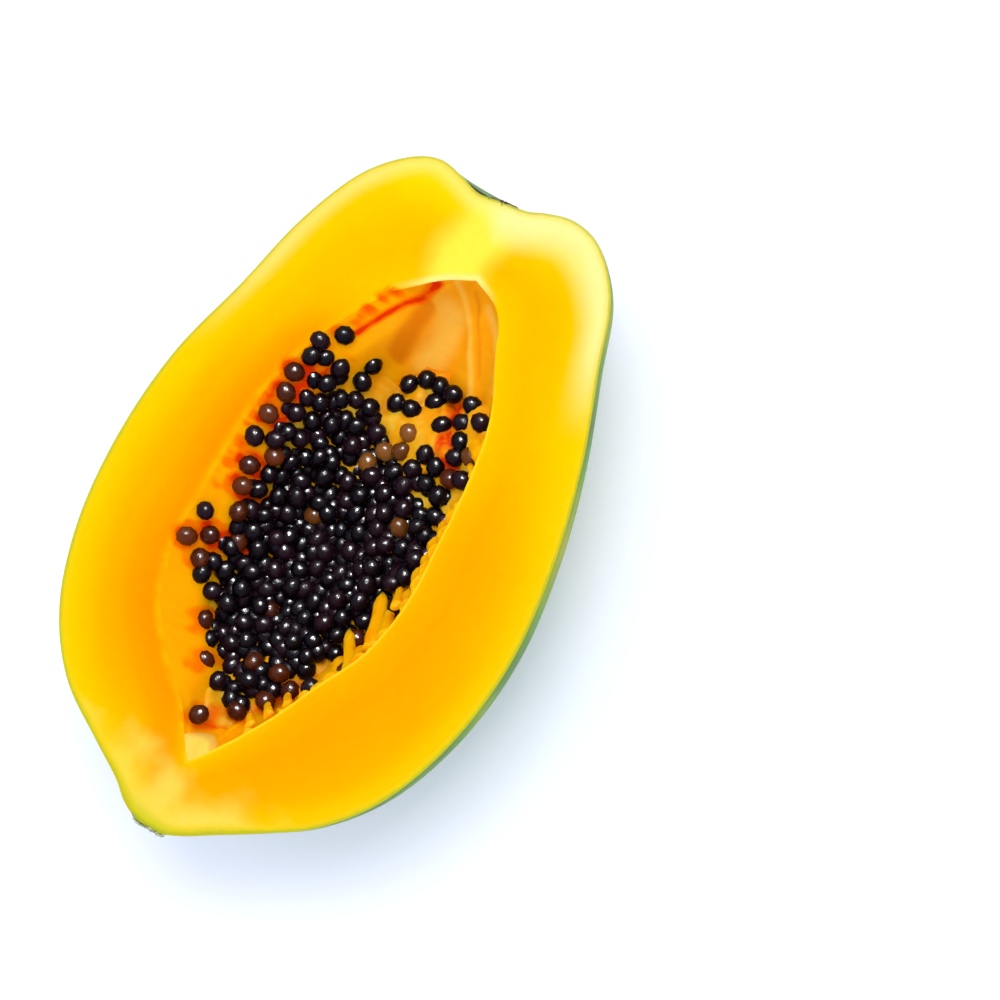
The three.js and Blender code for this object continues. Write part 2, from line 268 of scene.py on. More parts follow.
@dataclass(frozen=True)
class CavityShape:
    """The hollow that the seeds lie in.

    Attributes:
        stations: Place along the fruit, distance to its left, distance to its right, depth.
        axis: Sideways place of its middle at the blossom end and at the stem end.
        power: 0.5 gives an elliptical wall and 1 a parabolic one.
        power_shift: How much more the left wall slopes than the right one.
        ridges: Angles of the ridges that the seeds grow on.
        ridge_spread: Half width of a ridge, in radians.
        ridge_height: Its height.
        ridge_full_depth: Depth of the hollow where a ridge has its full height.
    """

    stations: tuple[tuple[float, float, float, float], ...] = (
        (-73, 0, 0, 0), (-68.5, 3.4, 3.6, 6.5), (-62, 8.4, 8, 12.5), (-53, 18.8, 13.6, 19),
        (-42, 27.8, 19, 24.5), (-28, 32.2, 26.2, 29), (-12, 32.4, 29.2, 31.5),
        (4, 32.1, 28.7, 31.5), (21, 30.4, 27.6, 29.5), (36, 25.2, 24.9, 26.5),
        (48.5, 18.4, 19.3, 22), (57, 12.4, 13.3, 16), (62.5, 6.4, 7, 9.5), (65.6, 0, 0, 0),
    )
    axis: tuple[float, float] = (1.3, 0.2)
    power: float = 0.72
    power_shift: float = 0.1
    ridges: tuple[float, ...] = (0.2 * math.pi, 0.6 * math.pi, math.pi)
    ridge_spread: float = 0.17
    ridge_height: float = 2.6
    ridge_full_depth: float = 14.0

    @property
    def first(self) -> float:
        """The place of its tip at the blossom end."""
        return self.stations[0][0]

    @property
    def last(self) -> float:
        """The place of its tip at the stem end."""
        return self.stations[-1][0]

    def value(self, x: float, column: int) -> float:
        """Reads one column of the stations, smoothly between them.

        Args:
            x: Place along the fruit.
            column: 1 for left, 2 for right and 3 for depth.

        Returns:
            The value there.
        """
        rows = self.stations
        last = len(rows) - 1
        start = next((i - 1 for i, row in enumerate(rows) if row[0] > x), last - 1)
        start = max(0, start)
        here, after = rows[start], rows[start + 1]
        before, beyond = rows[max(0, start - 1)], rows[min(last, start + 2)]
        span = after[0] - here[0]
        share = clamp((x - here[0]) / span)
        slope_here = (after[column] - before[column]) / (after[0] - before[0]) * span
        slope_after = (beyond[column] - here[column]) / (beyond[0] - here[0]) * span
        rise = after[column] - here[column]
        square = 3 * rise - 2 * slope_here - slope_after
        cube = slope_here + slope_after - 2 * rise
        return here[column] + share * (slope_here + share * (square + share * cube))

    def middle(self, x: float) -> float:
        """Gives the sideways place of the hollow's middle.

        Args:
            x: Place along the fruit.

        Returns:
            The place across it.
        """
        return lerp(*self.axis, (x - self.first) / (self.last - self.first))

    def wall(self, x: float, angle: float) -> float:
        """Gives the height of the wall.

        Args:
            x: Place along the fruit.
            angle: From 0 at the left rim to pi at the right rim.

        Returns:
            The height, 0 at the rims and less inside.
        """
        depth = self.value(x, 3)
        power = self.power + self.power_shift * math.cos(angle)
        sine = max(0.0, math.sin(angle))
        ridge = sum(math.exp(-(((angle - at) / self.ridge_spread) ** 2)) for at in self.ridges)
        reach = clamp(depth / self.ridge_full_depth)
        return -depth * sine ** (2 * power) + self.ridge_height * ridge * reach * sine

    def angle(self, x: float, y: float) -> float | None:
        """Finds the angle from the left rim under a place.

        Args:
            x: Place along the fruit.
            y: Place across it.

        Returns:
            The angle, or None outside the rim.
        """
        aside = y - self.middle(x)
        width = self.value(x, 1 if aside > 0 else 2)
        if width <= 0 or abs(aside) >= width:
            return None
        return math.acos(aside / width)

    def height(self, x: float, y: float) -> float:
        """Gives the height of the wall under a place, 0 outside the rim.

        Args:
            x: Place along the fruit.
            y: Place across it.

        Returns:
            The height.
        """
        angle = self.angle(x, y)
        return 0.0 if angle is None else self.wall(x, angle)


FRUIT = FruitShape()
CAVITY = CavityShape()


def path_distance(x: float, y: float, path: tuple[Place, ...]) -> float:
    """Measures how far a place is from a path of straight stretches.

    Args:
        x: Place along the fruit.
        y: Place across it.
        path: The corners of the path.

    Returns:
        The shortest distance.
    """
    nearest = math.inf
    for (ax, ay), (bx, by) in zip(path, path[1:]):
        square = (bx - ax) ** 2 + (by - ay) ** 2
        share = clamp(((x - ax) * (bx - ax) + (y - ay) * (by - ay)) / square)
        nearest = min(nearest, math.hypot(x - lerp(ax, bx, share), y - lerp(ay, by, share)))
    return nearest


# ---------------------------------------------------------------- shader graphs

Value = "Wire | float | tuple[float, ...]"


class Wire:
    """A socket of a shader graph that takes part in Python sums."""

    def __init__(self, graph: "Graph", socket: bpy.types.NodeSocket) -> None:
        """Keeps the socket.

        Args:
            graph: The graph that it is in.
            socket: The output that it stands for.
        """
        self.graph = graph
        self.socket = socket

    def _sum(self, operation: str, first: Value, second: Value) -> "Wire":
        """Adds one Math node.

        Args:
            operation: The node's operation.
            first: Its first value.
            second: Its second value.

        Returns:
            The result.
        """
        return self.graph.add("ShaderNodeMath", {"operation": operation}, {0: first, 1: second})

    def __add__(self, other: Value) -> "Wire":
        """Adds a value."""
        return self._sum("ADD", self, other)

    def __radd__(self, other: Value) -> "Wire":
        """Is added to a value."""
        return self._sum("ADD", other, self)

    def __sub__(self, other: Value) -> "Wire":
        """Takes a value away."""
        return self._sum("SUBTRACT", self, other)

    def __rsub__(self, other: Value) -> "Wire":
        """Is taken away from a value."""
        return self._sum("SUBTRACT", other, self)

    def __mul__(self, other: Value) -> "Wire":
        """Multiplies by a value."""
        return self._sum("MULTIPLY", self, other)

    def __rmul__(self, other: Value) -> "Wire":
        """Multiplies a value."""
        return self._sum("MULTIPLY", other, self)

    def __truediv__(self, other: Value) -> "Wire":
        """Divides by a value."""
        return self._sum("DIVIDE", self, other)

    def __pow__(self, other: Value) -> "Wire":
        """Raises to a power."""
        return self._sum("POWER", self, other)


class Graph:
    """The shader graph of one material."""

    def __init__(self, name: str) -> None:
        """Starts an empty material.

        Args:
            name: The material's name.
        """
        self.material = bpy.data.materials.new(name)
        self.material.use_nodes = True
        self.tree = self.material.node_tree
        self.tree.nodes.clear()

    def add(
        self,
        kind: str,
        settings: dict[str, object] | None = None,
        inputs: dict[int | str, Value] | None = None,
        output: int | str = 0,
    ) -> Wire:
        """Adds a node.

        Args:
            kind: Its type.
            settings: Its own settings, set first. "stops" holds a ramp's places and colours.
            inputs: Values or wires for its sockets.
            output: Which of its outputs to give back.

        Returns:
            That output.
        """
        node = self.tree.nodes.new(kind)
        for name, setting in (settings or {}).items():
            if name == "stops":
                self._set_stops(node.color_ramp, setting)
            else:
                setattr(node, name, setting)
        for key, value in (inputs or {}).items():
            if isinstance(value, Wire):
                self.tree.links.new(value.socket, node.inputs[key])
            else:
                node.inputs[key].default_value = value
        return Wire(self, node.outputs[output]) if len(node.outputs) else Wire(self, None)

    @staticmethod
    def _set_stops(ramp: bpy.types.ColorRamp, stops: tuple[tuple[float, Colour], ...]) -> None:
        """Fills a colour ramp.

        Args:
            ramp: The ramp.
            stops: Its places and colours, in order.
        """
        while len(ramp.elements) < len(stops):
            ramp.elements.new(1.0)
        for element, (place, colour) in zip(ramp.elements, stops):
            element.position = place
            element.color = (*colour, 1.0)

    def ramp(self, factor: Value, stops: tuple[tuple[float, Colour], ...]) -> Wire:
        """Turns a value into a colour.

        Args:
            factor: The value, from 0 to 1.
            stops: Places and colours.

        Returns:
            The colour.
        """
        return self.add("ShaderNodeValToRGB", {"stops": stops}, {0: factor})

    def step(self, value: Value, low: float, high: float) -> Wire:
        """Rises smoothly from 0 to 1 between two values.

        Args:
            value: Where to look.
            low: Where it is 0.
            high: Where it is 1; it may be less than low.

        Returns:
            The height of the step.
        """
        settings = {"interpolation_type": "SMOOTHSTEP"}
        if low < high:
            return self.add("ShaderNodeMapRange", settings, {0: value, 1: low, 2: high})
        rising = self.add("ShaderNodeMapRange", settings, {0: value, 1: high, 2: low})
        return 1.0 - rising

    def blend(self, factor: Value, first: Wire | Colour, second: Wire | Colour) -> Wire:
        """Mixes two colours.

        Args:
            factor: 0 for the first and 1 for the second.
            first: A colour.
            second: A colour.

        Returns:
            The mixture.
        """
        sides = [c if isinstance(c, Wire) else (*c, 1.0) for c in (first, second)]
        return self.add(
            "ShaderNodeMix", {"data_type": "RGBA"}, {0: factor, 6: sides[0], 7: sides[1]}, 2
        )

    def coordinates(self) -> Wire:
        """Gives the place on the object."""
        return self.add("ShaderNodeTexCoord", output="Object")

    def attribute(self, name: str) -> Wire:
        """Reads a number that the mesh keeps at its corners.

        Args:
            name: The attribute's name.

        Returns:
            The number.
        """
        return self.add("ShaderNodeAttribute", {"attribute_name": name}, output="Fac")

    def stretched(self, vector: Wire, scale: tuple[float, float, float]) -> Wire:
        """Stretches a pattern's coordinates.

        Args:
            vector: The coordinates.
            scale: How much finer the pattern gets each way.

        Returns:
            The new coordinates.
        """
        return self.add(
            "ShaderNodeVectorMath", {"operation": "MULTIPLY"}, {0: vector, 1: scale}
        )

    def noise(self, vector: Wire, scale: float, detail: float = 3.0, rough: float = 0.5) -> Wire:
        """Adds a noise pattern.

        Args:
            vector: Its coordinates.
            scale: How fine it is.
            detail: How many finer layers it has.
            rough: How strong those are.

        Returns:
            The noise, from 0 to 1 about 0.5.
        """
        return self.add(
            "ShaderNodeTexNoise", {},
            {"Vector": vector, "Scale": scale, "Detail": detail, "Roughness": rough},
        )

    def axes(self, vector: Wire) -> tuple[Wire, Wire, Wire]:
        """Splits coordinates.

        Args:
            vector: The coordinates.

        Returns:
            The three numbers.
        """
        split = self.add("ShaderNodeSeparateXYZ", {}, {0: vector})
        outputs = split.socket.node.outputs
        return Wire(self, outputs[0]), Wire(self, outputs[1]), Wire(self, outputs[2])

    def bump(self, height: Wire, strength: float, distance: float) -> Wire:
        """Makes small relief.

        Args:
            height: The relief's height, from 0 to 1.
            strength: How much of it to show.
            distance: Its real height in metres.

        Returns:
            The bent normal.
        """
        return self.add(
            "ShaderNodeBump", {}, {"Height": height, "Strength": strength, "Distance": distance}
        )

    def finish(self, inputs: dict[int | str, Value]) -> bpy.types.Material:
        """Adds the surface shader and closes the graph.

        Args:
            inputs: Values and wires for the shader.

        Returns:
            The material.
        """
        shader = self.add("ShaderNodeBsdfPrincipled", {}, inputs)
        self.add("ShaderNodeOutputMaterial", {}, {"Surface": shader})
        return self.material


@dataclass(frozen=True)
class CutFlesh:
    """The moist cut face: green at the skin, then bright yellow, orange in the middle.

    Attributes:
        roughness: How dull it is.
        specular: How strongly it mirrors.
        green: Colour of the thin line at the skin.
        lime: Colour just inside it.
        stops: Colours from the skin, at 0, to the cavity, at 1.
        deep_and_shade: The orange of large soft patches, and the painted shade laid over the blossom end, strongest
            on the right.
        glow: The orange near the cavity's left rim.
        slope: The yellower slope down to that rim.
        upper: The yellower flesh of the half nearer the stem.
        sunny: The yellow of the stem end.
        shoulder: Colour of the pale band under the skin of both shoulders.
        stem_pale: Colour of the wedge between the stem scar and the cavity.
        lip: Colour of the pale lip round the cavity's stem end.
        blossom_pale: Colour at the blossom end.
        tip_green: Colour close to the blossom tip.
        rim_highlight: Colour of the thin pale line along the cavity's right rim, a painted highlight on its wet
            edge.
        rim_orange: Colour of the weaker stains along its left rim.
        rim_red: Colour of the stronger ones.
    """

    roughness: float = 0.5
    specular: float = 0.0
    green: Colour = (0.38, 0.4, 0.02)
    lime: Colour = (0.62, 0.53, 0.008)
    stops: tuple[tuple[float, Colour], ...] = (
        (0.0, (1.0, 0.58, 0.004)), (0.07, (1.0, 0.55, 0.001)), (0.22, (1.0, 0.50, 0.0)),
        (0.45, (1.0, 0.425, 0.0)), (0.7, (1.0, 0.375, 0.0)), (0.9, (1.0, 0.45, 0.0)),
        (1.0, (1.0, 0.53, 0.002)),
    )
    deep_and_shade: Colour = (1.0, 0.29, 0.0)
    glow: Colour = (1.0, 0.24, 0.0)
    slope: Colour = (1.0, 0.42, 0.001)
    upper: Colour = (1.0, 0.56, 0.0)
    sunny: Colour = (1.0, 0.68, 0.003)
    shoulder: Colour = (0.96, 0.77, 0.25)
    stem_pale: Colour = (0.96, 0.73, 0.05)
    lip: Colour = (0.98, 0.76, 0.22)
    blossom_pale: Colour = (0.96, 0.67, 0.09)
    tip_green: Colour = (0.5, 0.53, 0.02)
    rim_highlight: Colour = (1.0, 0.62, 0.015)
    rim_orange: Colour = (0.98, 0.2, 0.0)
    rim_red: Colour = (0.72, 0.05, 0.001)

    def material(self) -> bpy.types.Material:
        """Builds the material."""
        graph = Graph("cut_flesh")
        place = graph.coordinates()
        along, across, _ = graph.axes(place)
        skin = graph.attribute("skin_depth")
        rim = graph.attribute("rim_depth")
        soft = graph.noise(place, 28.0, 2.0)
        fine = graph.noise(place, 420.0, 3.0, 0.6)
        share = skin / (skin + rim + 0.001) + 0.14 * (soft - 0.5)
        colour = graph.ramp(share, self.stops)
        wide = graph.noise(graph.stretched(place, (1.0, 1.0, 0.2)), 19.0, 1.0)
        upper = graph.step(along + 0.25 * across, -0.008, 0.032)
        colour = graph.blend(0.42 * upper, colour, self.upper)
        patches = graph.step(wide, 0.45, 0.7) * graph.step(skin, 7.0, 13.0)
        # Painted shade: an even darker orange over the blossom end of the face, strongest on its right side, laid
        # on top of the real soft patches.
        patchier_and_shaded = graph.step(along - 0.5 * across, 0.035, -0.03)
        shaded_low_right = graph.step(across, 0.0, -0.02) * graph.step(along, 0.05, -0.03)
        even = 0.08 * patchier_and_shaded + 0.22 * shaded_low_right
        patches_and_shade = (0.12 + 0.35 * patchier_and_shaded) * patches + even * graph.step(skin, 2.5, 9.0)
        patches_and_shade = patches_and_shade + 0.16 * shaded_low_right
        colour = graph.blend(patches_and_shade, colour, self.deep_and_shade)
        left = graph.step(across, -0.002, 0.012)
        near_rim = graph.step(rim + 4.0 * (soft - 0.5), 12.0, 2.0) * graph.step(along, 0.056, 0.03)
        colour = graph.blend(0.75 * left * near_rim, colour, self.glow)
        mottle = graph.step(graph.noise(graph.stretched(place, (260.0, 120.0, 120.0)), 1.0), 0.35, 0.65)
        slope = left * graph.step(rim + 1.5 * (soft - 0.5), 2.4, 0.4) * (0.35 + 0.5 * mottle)
        colour = graph.blend(slope * graph.step(along, 0.056, 0.03), colour, self.slope)
        grain = graph.noise(graph.stretched(place, (30.0, 170.0, 30.0)), 1.0, 3.0, 0.6)
        stem = graph.step(along + 0.016 * (soft - 0.5), 0.07, 0.092)
        wedge = graph.attribute("wedge") * (0.6 + 0.8 * grain)
        colour = graph.blend(0.75 * stem, colour, self.sunny)
        colour = graph.blend(graph.step(wedge, 0.05, 0.95), colour, self.stem_pale)
        right = graph.step(across, 0.004, -0.004)
        wider = 0.35 * right + 0.22 * right * graph.step(along, 0.06, 0.085)
        band_depth = (1.0 - wider) * skin + 2.5 * (soft - 0.5)
        band = graph.step(band_depth, 6.0, 1.0) * graph.step(along + 0.25 * across, 0.03, 0.058)
        colour = graph.blend((0.45 + 0.5 * right) * band, colour, self.shoulder)
        lip_part = graph.step(along, 0.055, 0.063) * graph.step(across, -0.013, -0.004)
        lip = graph.step(rim + 0.8 * (soft - 0.5), 2.2, 0.4) * lip_part
        colour = graph.blend(0.75 * lip, colour, self.lip)
        blotch = graph.noise(place, 90.0, 2.0)
        blossom = graph.step(along + 0.03 * (blotch - 0.5), -0.07, -0.087)
        colour = graph.blend(0.75 * blossom, colour, self.blossom_pale)
        tip = graph.step(along - 0.25 * across + 0.008 * (soft - 0.5), -0.084, -0.0925)
        colour = graph.blend(0.7 * tip, colour, self.tip_green)
        red = graph.attribute("red") * (0.6 + 0.8 * fine)
        colour = graph.blend(0.9 * graph.step(red, 0.12, 0.6), colour, self.rim_orange)
        colour = graph.blend(graph.step(red, 0.5, 0.95), colour, self.rim_red)
        # Painted highlight: a thin pale line along the wet right rim of the cavity.
        thin = graph.step(rim, 0.9, 0.2) * graph.step(along, 0.05, 0.03)
        colour = graph.blend(0.7 * right * thin, colour, self.rim_highlight)
        ragged = (1.0 - 0.4 * blossom) * skin + 0.4 * (graph.noise(place, 260.0, 2.0) - 0.5)
        lime = graph.step(ragged, 2.3, 0.5) * (0.5 + 0.5 * graph.step(along, 0.05, 0.0))
        colour = graph.blend(0.9 * lime, colour, self.lime)
        colour = graph.blend(0.8 * graph.step(ragged, 0.9, 0.2), colour, self.green)
        relief = 0.6 * fine + 0.4 * graph.noise(place, 1300.0, 2.0)
        return graph.finish({
            "Base Color": colour,
            "Roughness": self.roughness + 0.25 * (fine - 0.5),
            "Specular IOR Level": self.specular,
            "Subsurface Weight": 0.4,
            "Subsurface Radius": (1.0, 0.4, 0.05),
            "Subsurface Scale": 0.006,
            "Normal": graph.bump(relief, 0.25, 0.0004),
        })


@dataclass(frozen=True)
class CavityWall:
    """The soft inner wall: yellow and stringy, peach at the stem end, with red stains.

    Attributes:
        roughness: How dull it is.
        specular: How strongly it mirrors.
        base: Its usual colour.
        bright: Colour of its fibres.
        shade: Painted shade in its hollows between the fibres.
        upper: Colour of the flesh that its left rim runs into.
        peach: Colour of its stem end.
        beige: Colour of its bright middle.
        pocket_shadow_and_seam: Colour of the painted shadow in the pocket and of the dark seam there.
        pale: Colour of the ridge and the facet.
        orange: Colour of the weaker stains.
        red: Colour of the stronger ones.
    """

    roughness: float = 0.42
    specular: float = 0.0
    base: Colour = (1.0, 0.34, 0.0)
    bright: Colour = (1.0, 0.42, 0.001)
    shade: Colour = (1.0, 0.25, 0.0)
    upper: Colour = (1.0, 0.37, 0.001)
    peach: Colour = (1.0, 0.41, 0.006)
    beige: Colour = (1.0, 0.55, 0.06)
    pocket_shadow_and_seam: Colour = (0.7, 0.18, 0.003)
    pale: Colour = (1.0, 0.65, 0.09)
    orange: Colour = (0.97, 0.16, 0.0)
    red: Colour = (0.78, 0.03, 0.001)

    def material(self) -> bpy.types.Material:
        """Builds the material."""
        graph = Graph("cavity_wall")
        place = graph.coordinates()
        along, across, up = graph.axes(place)
        wide = graph.noise(place, 60.0, 2.0)
        fine = graph.noise(place, 300.0, 3.0, 0.6)
        strings = graph.noise(graph.stretched(place, (420.0, 70.0, 70.0)), 1.0, 3.0, 0.55)
        colour = graph.blend(graph.step(wide, 0.4, 0.65), self.base, self.bright)
        colour = graph.blend(0.6 * graph.step(strings, 0.5, 0.7), colour, self.bright)
        # Painted shade between the fibres.
        colour = graph.blend(0.6 * graph.step(strings, 0.45, 0.28), colour, self.shade)
        rim_height = CUT_ORIGIN.z * MM
        depth = rim_height - up + 0.004 * (wide - 0.5)
        left_rim = graph.step(across, 0.0, 0.008) * graph.step(depth, 0.012, 0.003)
        colour = graph.blend(0.85 * left_rim, colour, self.upper)
        stem = graph.step(along, 0.034, 0.05) * graph.step(across + 0.675 * along, 0.048, 0.0455)
        colour = graph.blend(0.85 * stem, colour, self.peach)
        light = graph.attribute("light") * (0.75 + 0.5 * wide)
        colour = graph.blend(0.9 * graph.step(light, 0.1, 0.9), colour, self.beige)
        # Painted shadow in the sunken pocket near the stem end, and the dark seam right of the ridge.
        pocket_shadow_and_seam = graph.attribute("pocket_shadow_and_seam") * (0.7 + 0.6 * strings)
        colour = graph.blend(0.6 * graph.step(pocket_shadow_and_seam, 0.1, 0.9), colour, self.pocket_shadow_and_seam)
        red = graph.attribute("red") * (0.55 + 0.9 * fine)
        colour = graph.blend(0.9 * graph.step(red, 0.1, 0.5), colour, self.orange)
        colour = graph.blend(graph.step(red, 0.5, 0.95), colour, self.red)
        pale = graph.attribute("pale")
        colour = graph.blend(0.9 * graph.step(pale, 0.2, 0.9), colour, self.pale)
        relief = 0.5 * strings + 0.5 * fine
        return graph.finish({
            "Base Color": colour,
            "Roughness": self.roughness + 0.3 * (wide - 0.5),
            "Specular IOR Level": self.specular,
            "Subsurface Weight": 0.4,
            "Subsurface Radius": (1.0, 0.4, 0.05),
            "Subsurface Scale": 0.006,
            "Normal": graph.bump(relief, 0.5, 0.0008),
        })


@dataclass(frozen=True)
class WaxySkin:
    """Smooth waxy peel: green with yellow blushes, fine dots and faint lengthwise streaks.

    Attributes:
        roughness: How dull it is.
        specular: How strongly it mirrors.
        green: Its usual colour.
        dark: Colour of its darker clouds and of both ends.
        blush: Colour where it ripens.
        dot: Colour of its fine dots.
        rim: Colour of the line along the cut.
        bark: Colour of the hollow round the stem scar.
    """

    roughness: float = 0.46
    specular: float = 0.1
    green: Colour = (0.12, 0.28, 0.006)
    dark: Colour = (0.045, 0.13, 0.008)
    blush: Colour = (0.42, 0.38, 0.01)
    dot: Colour = (0.3, 0.42, 0.08)
    rim: Colour = (0.29, 0.27, 0.015)
    bark: Colour = (0.035, 0.014, 0.003)

    def material(self) -> bpy.types.Material:
        """Builds the material."""
        graph = Graph("waxy_skin")
        place = graph.coordinates()
        along, across, up = graph.axes(place)
        clouds = graph.noise(place, 22.0, 3.0, 0.55)
        streaks = graph.noise(graph.stretched(place, (12.0, 110.0, 110.0)), 1.0, 3.0, 0.6)
        dots = graph.noise(place, 900.0, 1.0)
        colour = graph.blend(graph.step(clouds, 0.55, 0.3), self.green, self.dark)
        ripe = graph.step(clouds + 0.25 * (streaks - 0.5), 0.5, 0.66)
        colour = graph.blend(0.7 * ripe, colour, self.blush)
        colour = graph.blend(0.5 * graph.step(streaks, 0.62, 0.4), colour, self.green)
        ends = graph.step(along, 0.07, 0.088) + graph.step(along, -0.074, -0.09)
        colour = graph.blend(0.6 * ends, colour, self.dark)
        colour = graph.blend(0.4 * graph.step(dots, 0.68, 0.76), colour, self.dot)
        edge = graph.step(up, (CUT_ORIGIN.z - 1.6) * MM, (CUT_ORIGIN.z - 0.2) * MM)
        colour = graph.blend(0.85 * edge, colour, self.rim)
        level = (along - 0.0885) ** 2.0 + (across - 0.0055) ** 2.0
        scar = (level + (up - CUT_ORIGIN.z * MM) ** 2.0) ** 0.5
        ragged = scar + 0.004 * (graph.noise(place, 300.0, 3.0) - 0.5)
        corky = graph.step(ragged, 0.0085, 0.0065)
        colour = graph.blend(corky, colour, self.bark)
        relief = 0.6 * graph.noise(place, 160.0, 2.0) + 0.4 * dots
        return graph.finish({
            "Base Color": colour,
            "Roughness": self.roughness + 0.2 * (clouds - 0.5) + 0.5 * corky,
            "Specular IOR Level": self.specular,
            "Normal": graph.bump(relief, 0.12, 0.0005),
        })


@dataclass(frozen=True)
class DryBark:
    """Dried corky tissue, as on the stem scar and the blossom's remains.

    Attributes:
        name: The material's name.
        base: Its usual colour.
        dark: Colour of its cracks.
        pale: Colour of its flakes.
    """

    name: str
    base: Colour
    dark: Colour
    pale: Colour

    def material(self) -> bpy.types.Material:
        """Builds the material."""
        graph = Graph(self.name)
        place = graph.coordinates()
        grain = graph.noise(place, 700.0, 4.0, 0.65)
        flakes = graph.noise(place, 260.0, 2.0)
        colour = graph.blend(graph.step(grain, 0.55, 0.35), self.base, self.dark)
        colour = graph.blend(0.7 * graph.step(flakes, 0.55, 0.7), colour, self.pale)
        return graph.finish({
            "Base Color": colour,
            "Roughness": 0.8 + 0.2 * (grain - 0.5),
            "Specular IOR Level": 0.05,
            "Normal": graph.bump(grain, 0.8, 0.0006),
        })


@dataclass(frozen=True)
class WetPulp:
    """Wet stringy pulp between and under the seeds.

    Attributes:
        name: The material's name.
        base: Its usual colour.
        bright: Colour of its lumps and strings.
        deep_and_shade: Painted shade in its hollows, a deeper orange where the lumps sink.
        orange: Colour of the weaker stains.
        red: Colour of the stronger ones.
    """

    name: str = "wet_pulp"
    base: Colour = (1.0, 0.37, 0.004)
    bright: Colour = (1.0, 0.51, 0.03)
    deep_and_shade: Colour = (0.95, 0.21, 0.002)
    orange: Colour = (0.97, 0.15, 0.0)
    red: Colour = (0.75, 0.03, 0.001)

    def material(self) -> bpy.types.Material:
        """Builds the material."""
        graph = Graph(self.name)
        place = graph.coordinates()
        lumps = graph.noise(place, 190.0, 3.0, 0.55)
        fine = graph.noise(place, 800.0, 3.0)
        colour = graph.blend(graph.step(lumps, 0.45, 0.68), self.base, self.bright)
        # Painted shade: a deeper orange where the lumps sink.
        colour = graph.blend(0.85 * graph.step(lumps, 0.45, 0.28), colour, self.deep_and_shade)
        red = graph.attribute("red") * (0.55 + 0.9 * fine)
        colour = graph.blend(0.9 * graph.step(red, 0.1, 0.5), colour, self.orange)
        colour = graph.blend(graph.step(red, 0.5, 0.95), colour, self.red)
        return graph.finish({
            "Base Color": colour,
            "Roughness": 0.4 + 0.25 * (fine - 0.5),
            "Specular IOR Level": 0.01,
            "Subsurface Weight": 0.4,
            "Subsurface Radius": (1.0, 0.4, 0.05),
            "Subsurface Scale": 0.004,
            "Normal": graph.bump(0.5 * lumps + 0.5 * fine, 0.5, 0.0006),
        })


@dataclass(frozen=True)
class WetSeed:
    """The slippery coat of a seed.

    Attributes:
        name: The material's name.
        base: Its usual colour.
        tint: Colour that some seeds turn towards.
        mottle: Colour of its specks.
        roughness: How dull it is.
        specular: How strongly it mirrors.
    """

    name: str
    base: Colour
    tint: Colour
    mottle: Colour
    roughness: float = 0.27
    specular: float = 0.1

    def material(self) -> bpy.types.Material:
        """Builds the material."""
        graph = Graph(self.name)
        place = graph.coordinates()
        tone = graph.attribute("tone")
        specks = graph.noise(place, 480.0, 3.0, 0.6)
        colour = graph.blend(graph.step(tone, 0.35, 1.0), self.base, self.tint)
        colour = graph.blend(0.6 * graph.step(specks, 0.52, 0.74), colour, self.mottle)
        return graph.finish({
            "Base Color": colour,
            "Roughness": self.roughness + 0.1 * (specks - 0.5),
            "Specular IOR Level": self.specular,
            "Normal": graph.bump(specks, 0.5, 0.0006),
        })


@dataclass(frozen=True)
class StudioWhite:
    """Plain matt white for the floor."""

    albedo: float = 0.99

    def material(self) -> bpy.types.Material:
        """Builds the material."""
        graph = Graph("studio_white")
        return graph.finish({
            "Base Color": (self.albedo, self.albedo, self.albedo, 1.0),
            "Roughness": 0.9,
            "Specular IOR Level": 0.0,
        })


# ---------------------------------------------------------------- pieces


def into_frame(bm: bmesh.types.BMesh) -> None:
    """Moves a mesh from the cut face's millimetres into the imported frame's metres.

    Args:
        bm: The mesh.
    """
    move = Matrix.Scale(MM, 4) @ Matrix.Translation(CUT_ORIGIN)
    bmesh.ops.transform(bm, matrix=move, verts=bm.verts)


def finished_piece(
    name: str, bm: bmesh.types.BMesh, materials: list[bpy.types.Material]
) -> bpy.types.Object:
    """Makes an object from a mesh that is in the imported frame.

    Args:
        name: The object's name.
        bm: The mesh, which is freed.
        materials: Its materials, in slot order.

    Returns:
        The object, riding on the part.
    """
    mesh = bpy.data.meshes.new(name)
    bm.to_mesh(mesh)
    bm.free()
    mesh.shade_smooth()
    for material in materials:
        mesh.materials.append(material)
    piece = bpy.data.objects.new(name, mesh)
    bpy.context.collection.objects.link(piece)
    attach(piece, "root")
    triangles = sum(len(face.vertices) - 2 for face in mesh.polygons)
    log.info("%s: %d triangles", name, triangles)
    return piece


class Layer(Enum):
    """The surfaces of the half, in the order of its material slots."""

    SKIN = 0
    FLESH = 1
    WALL = 2


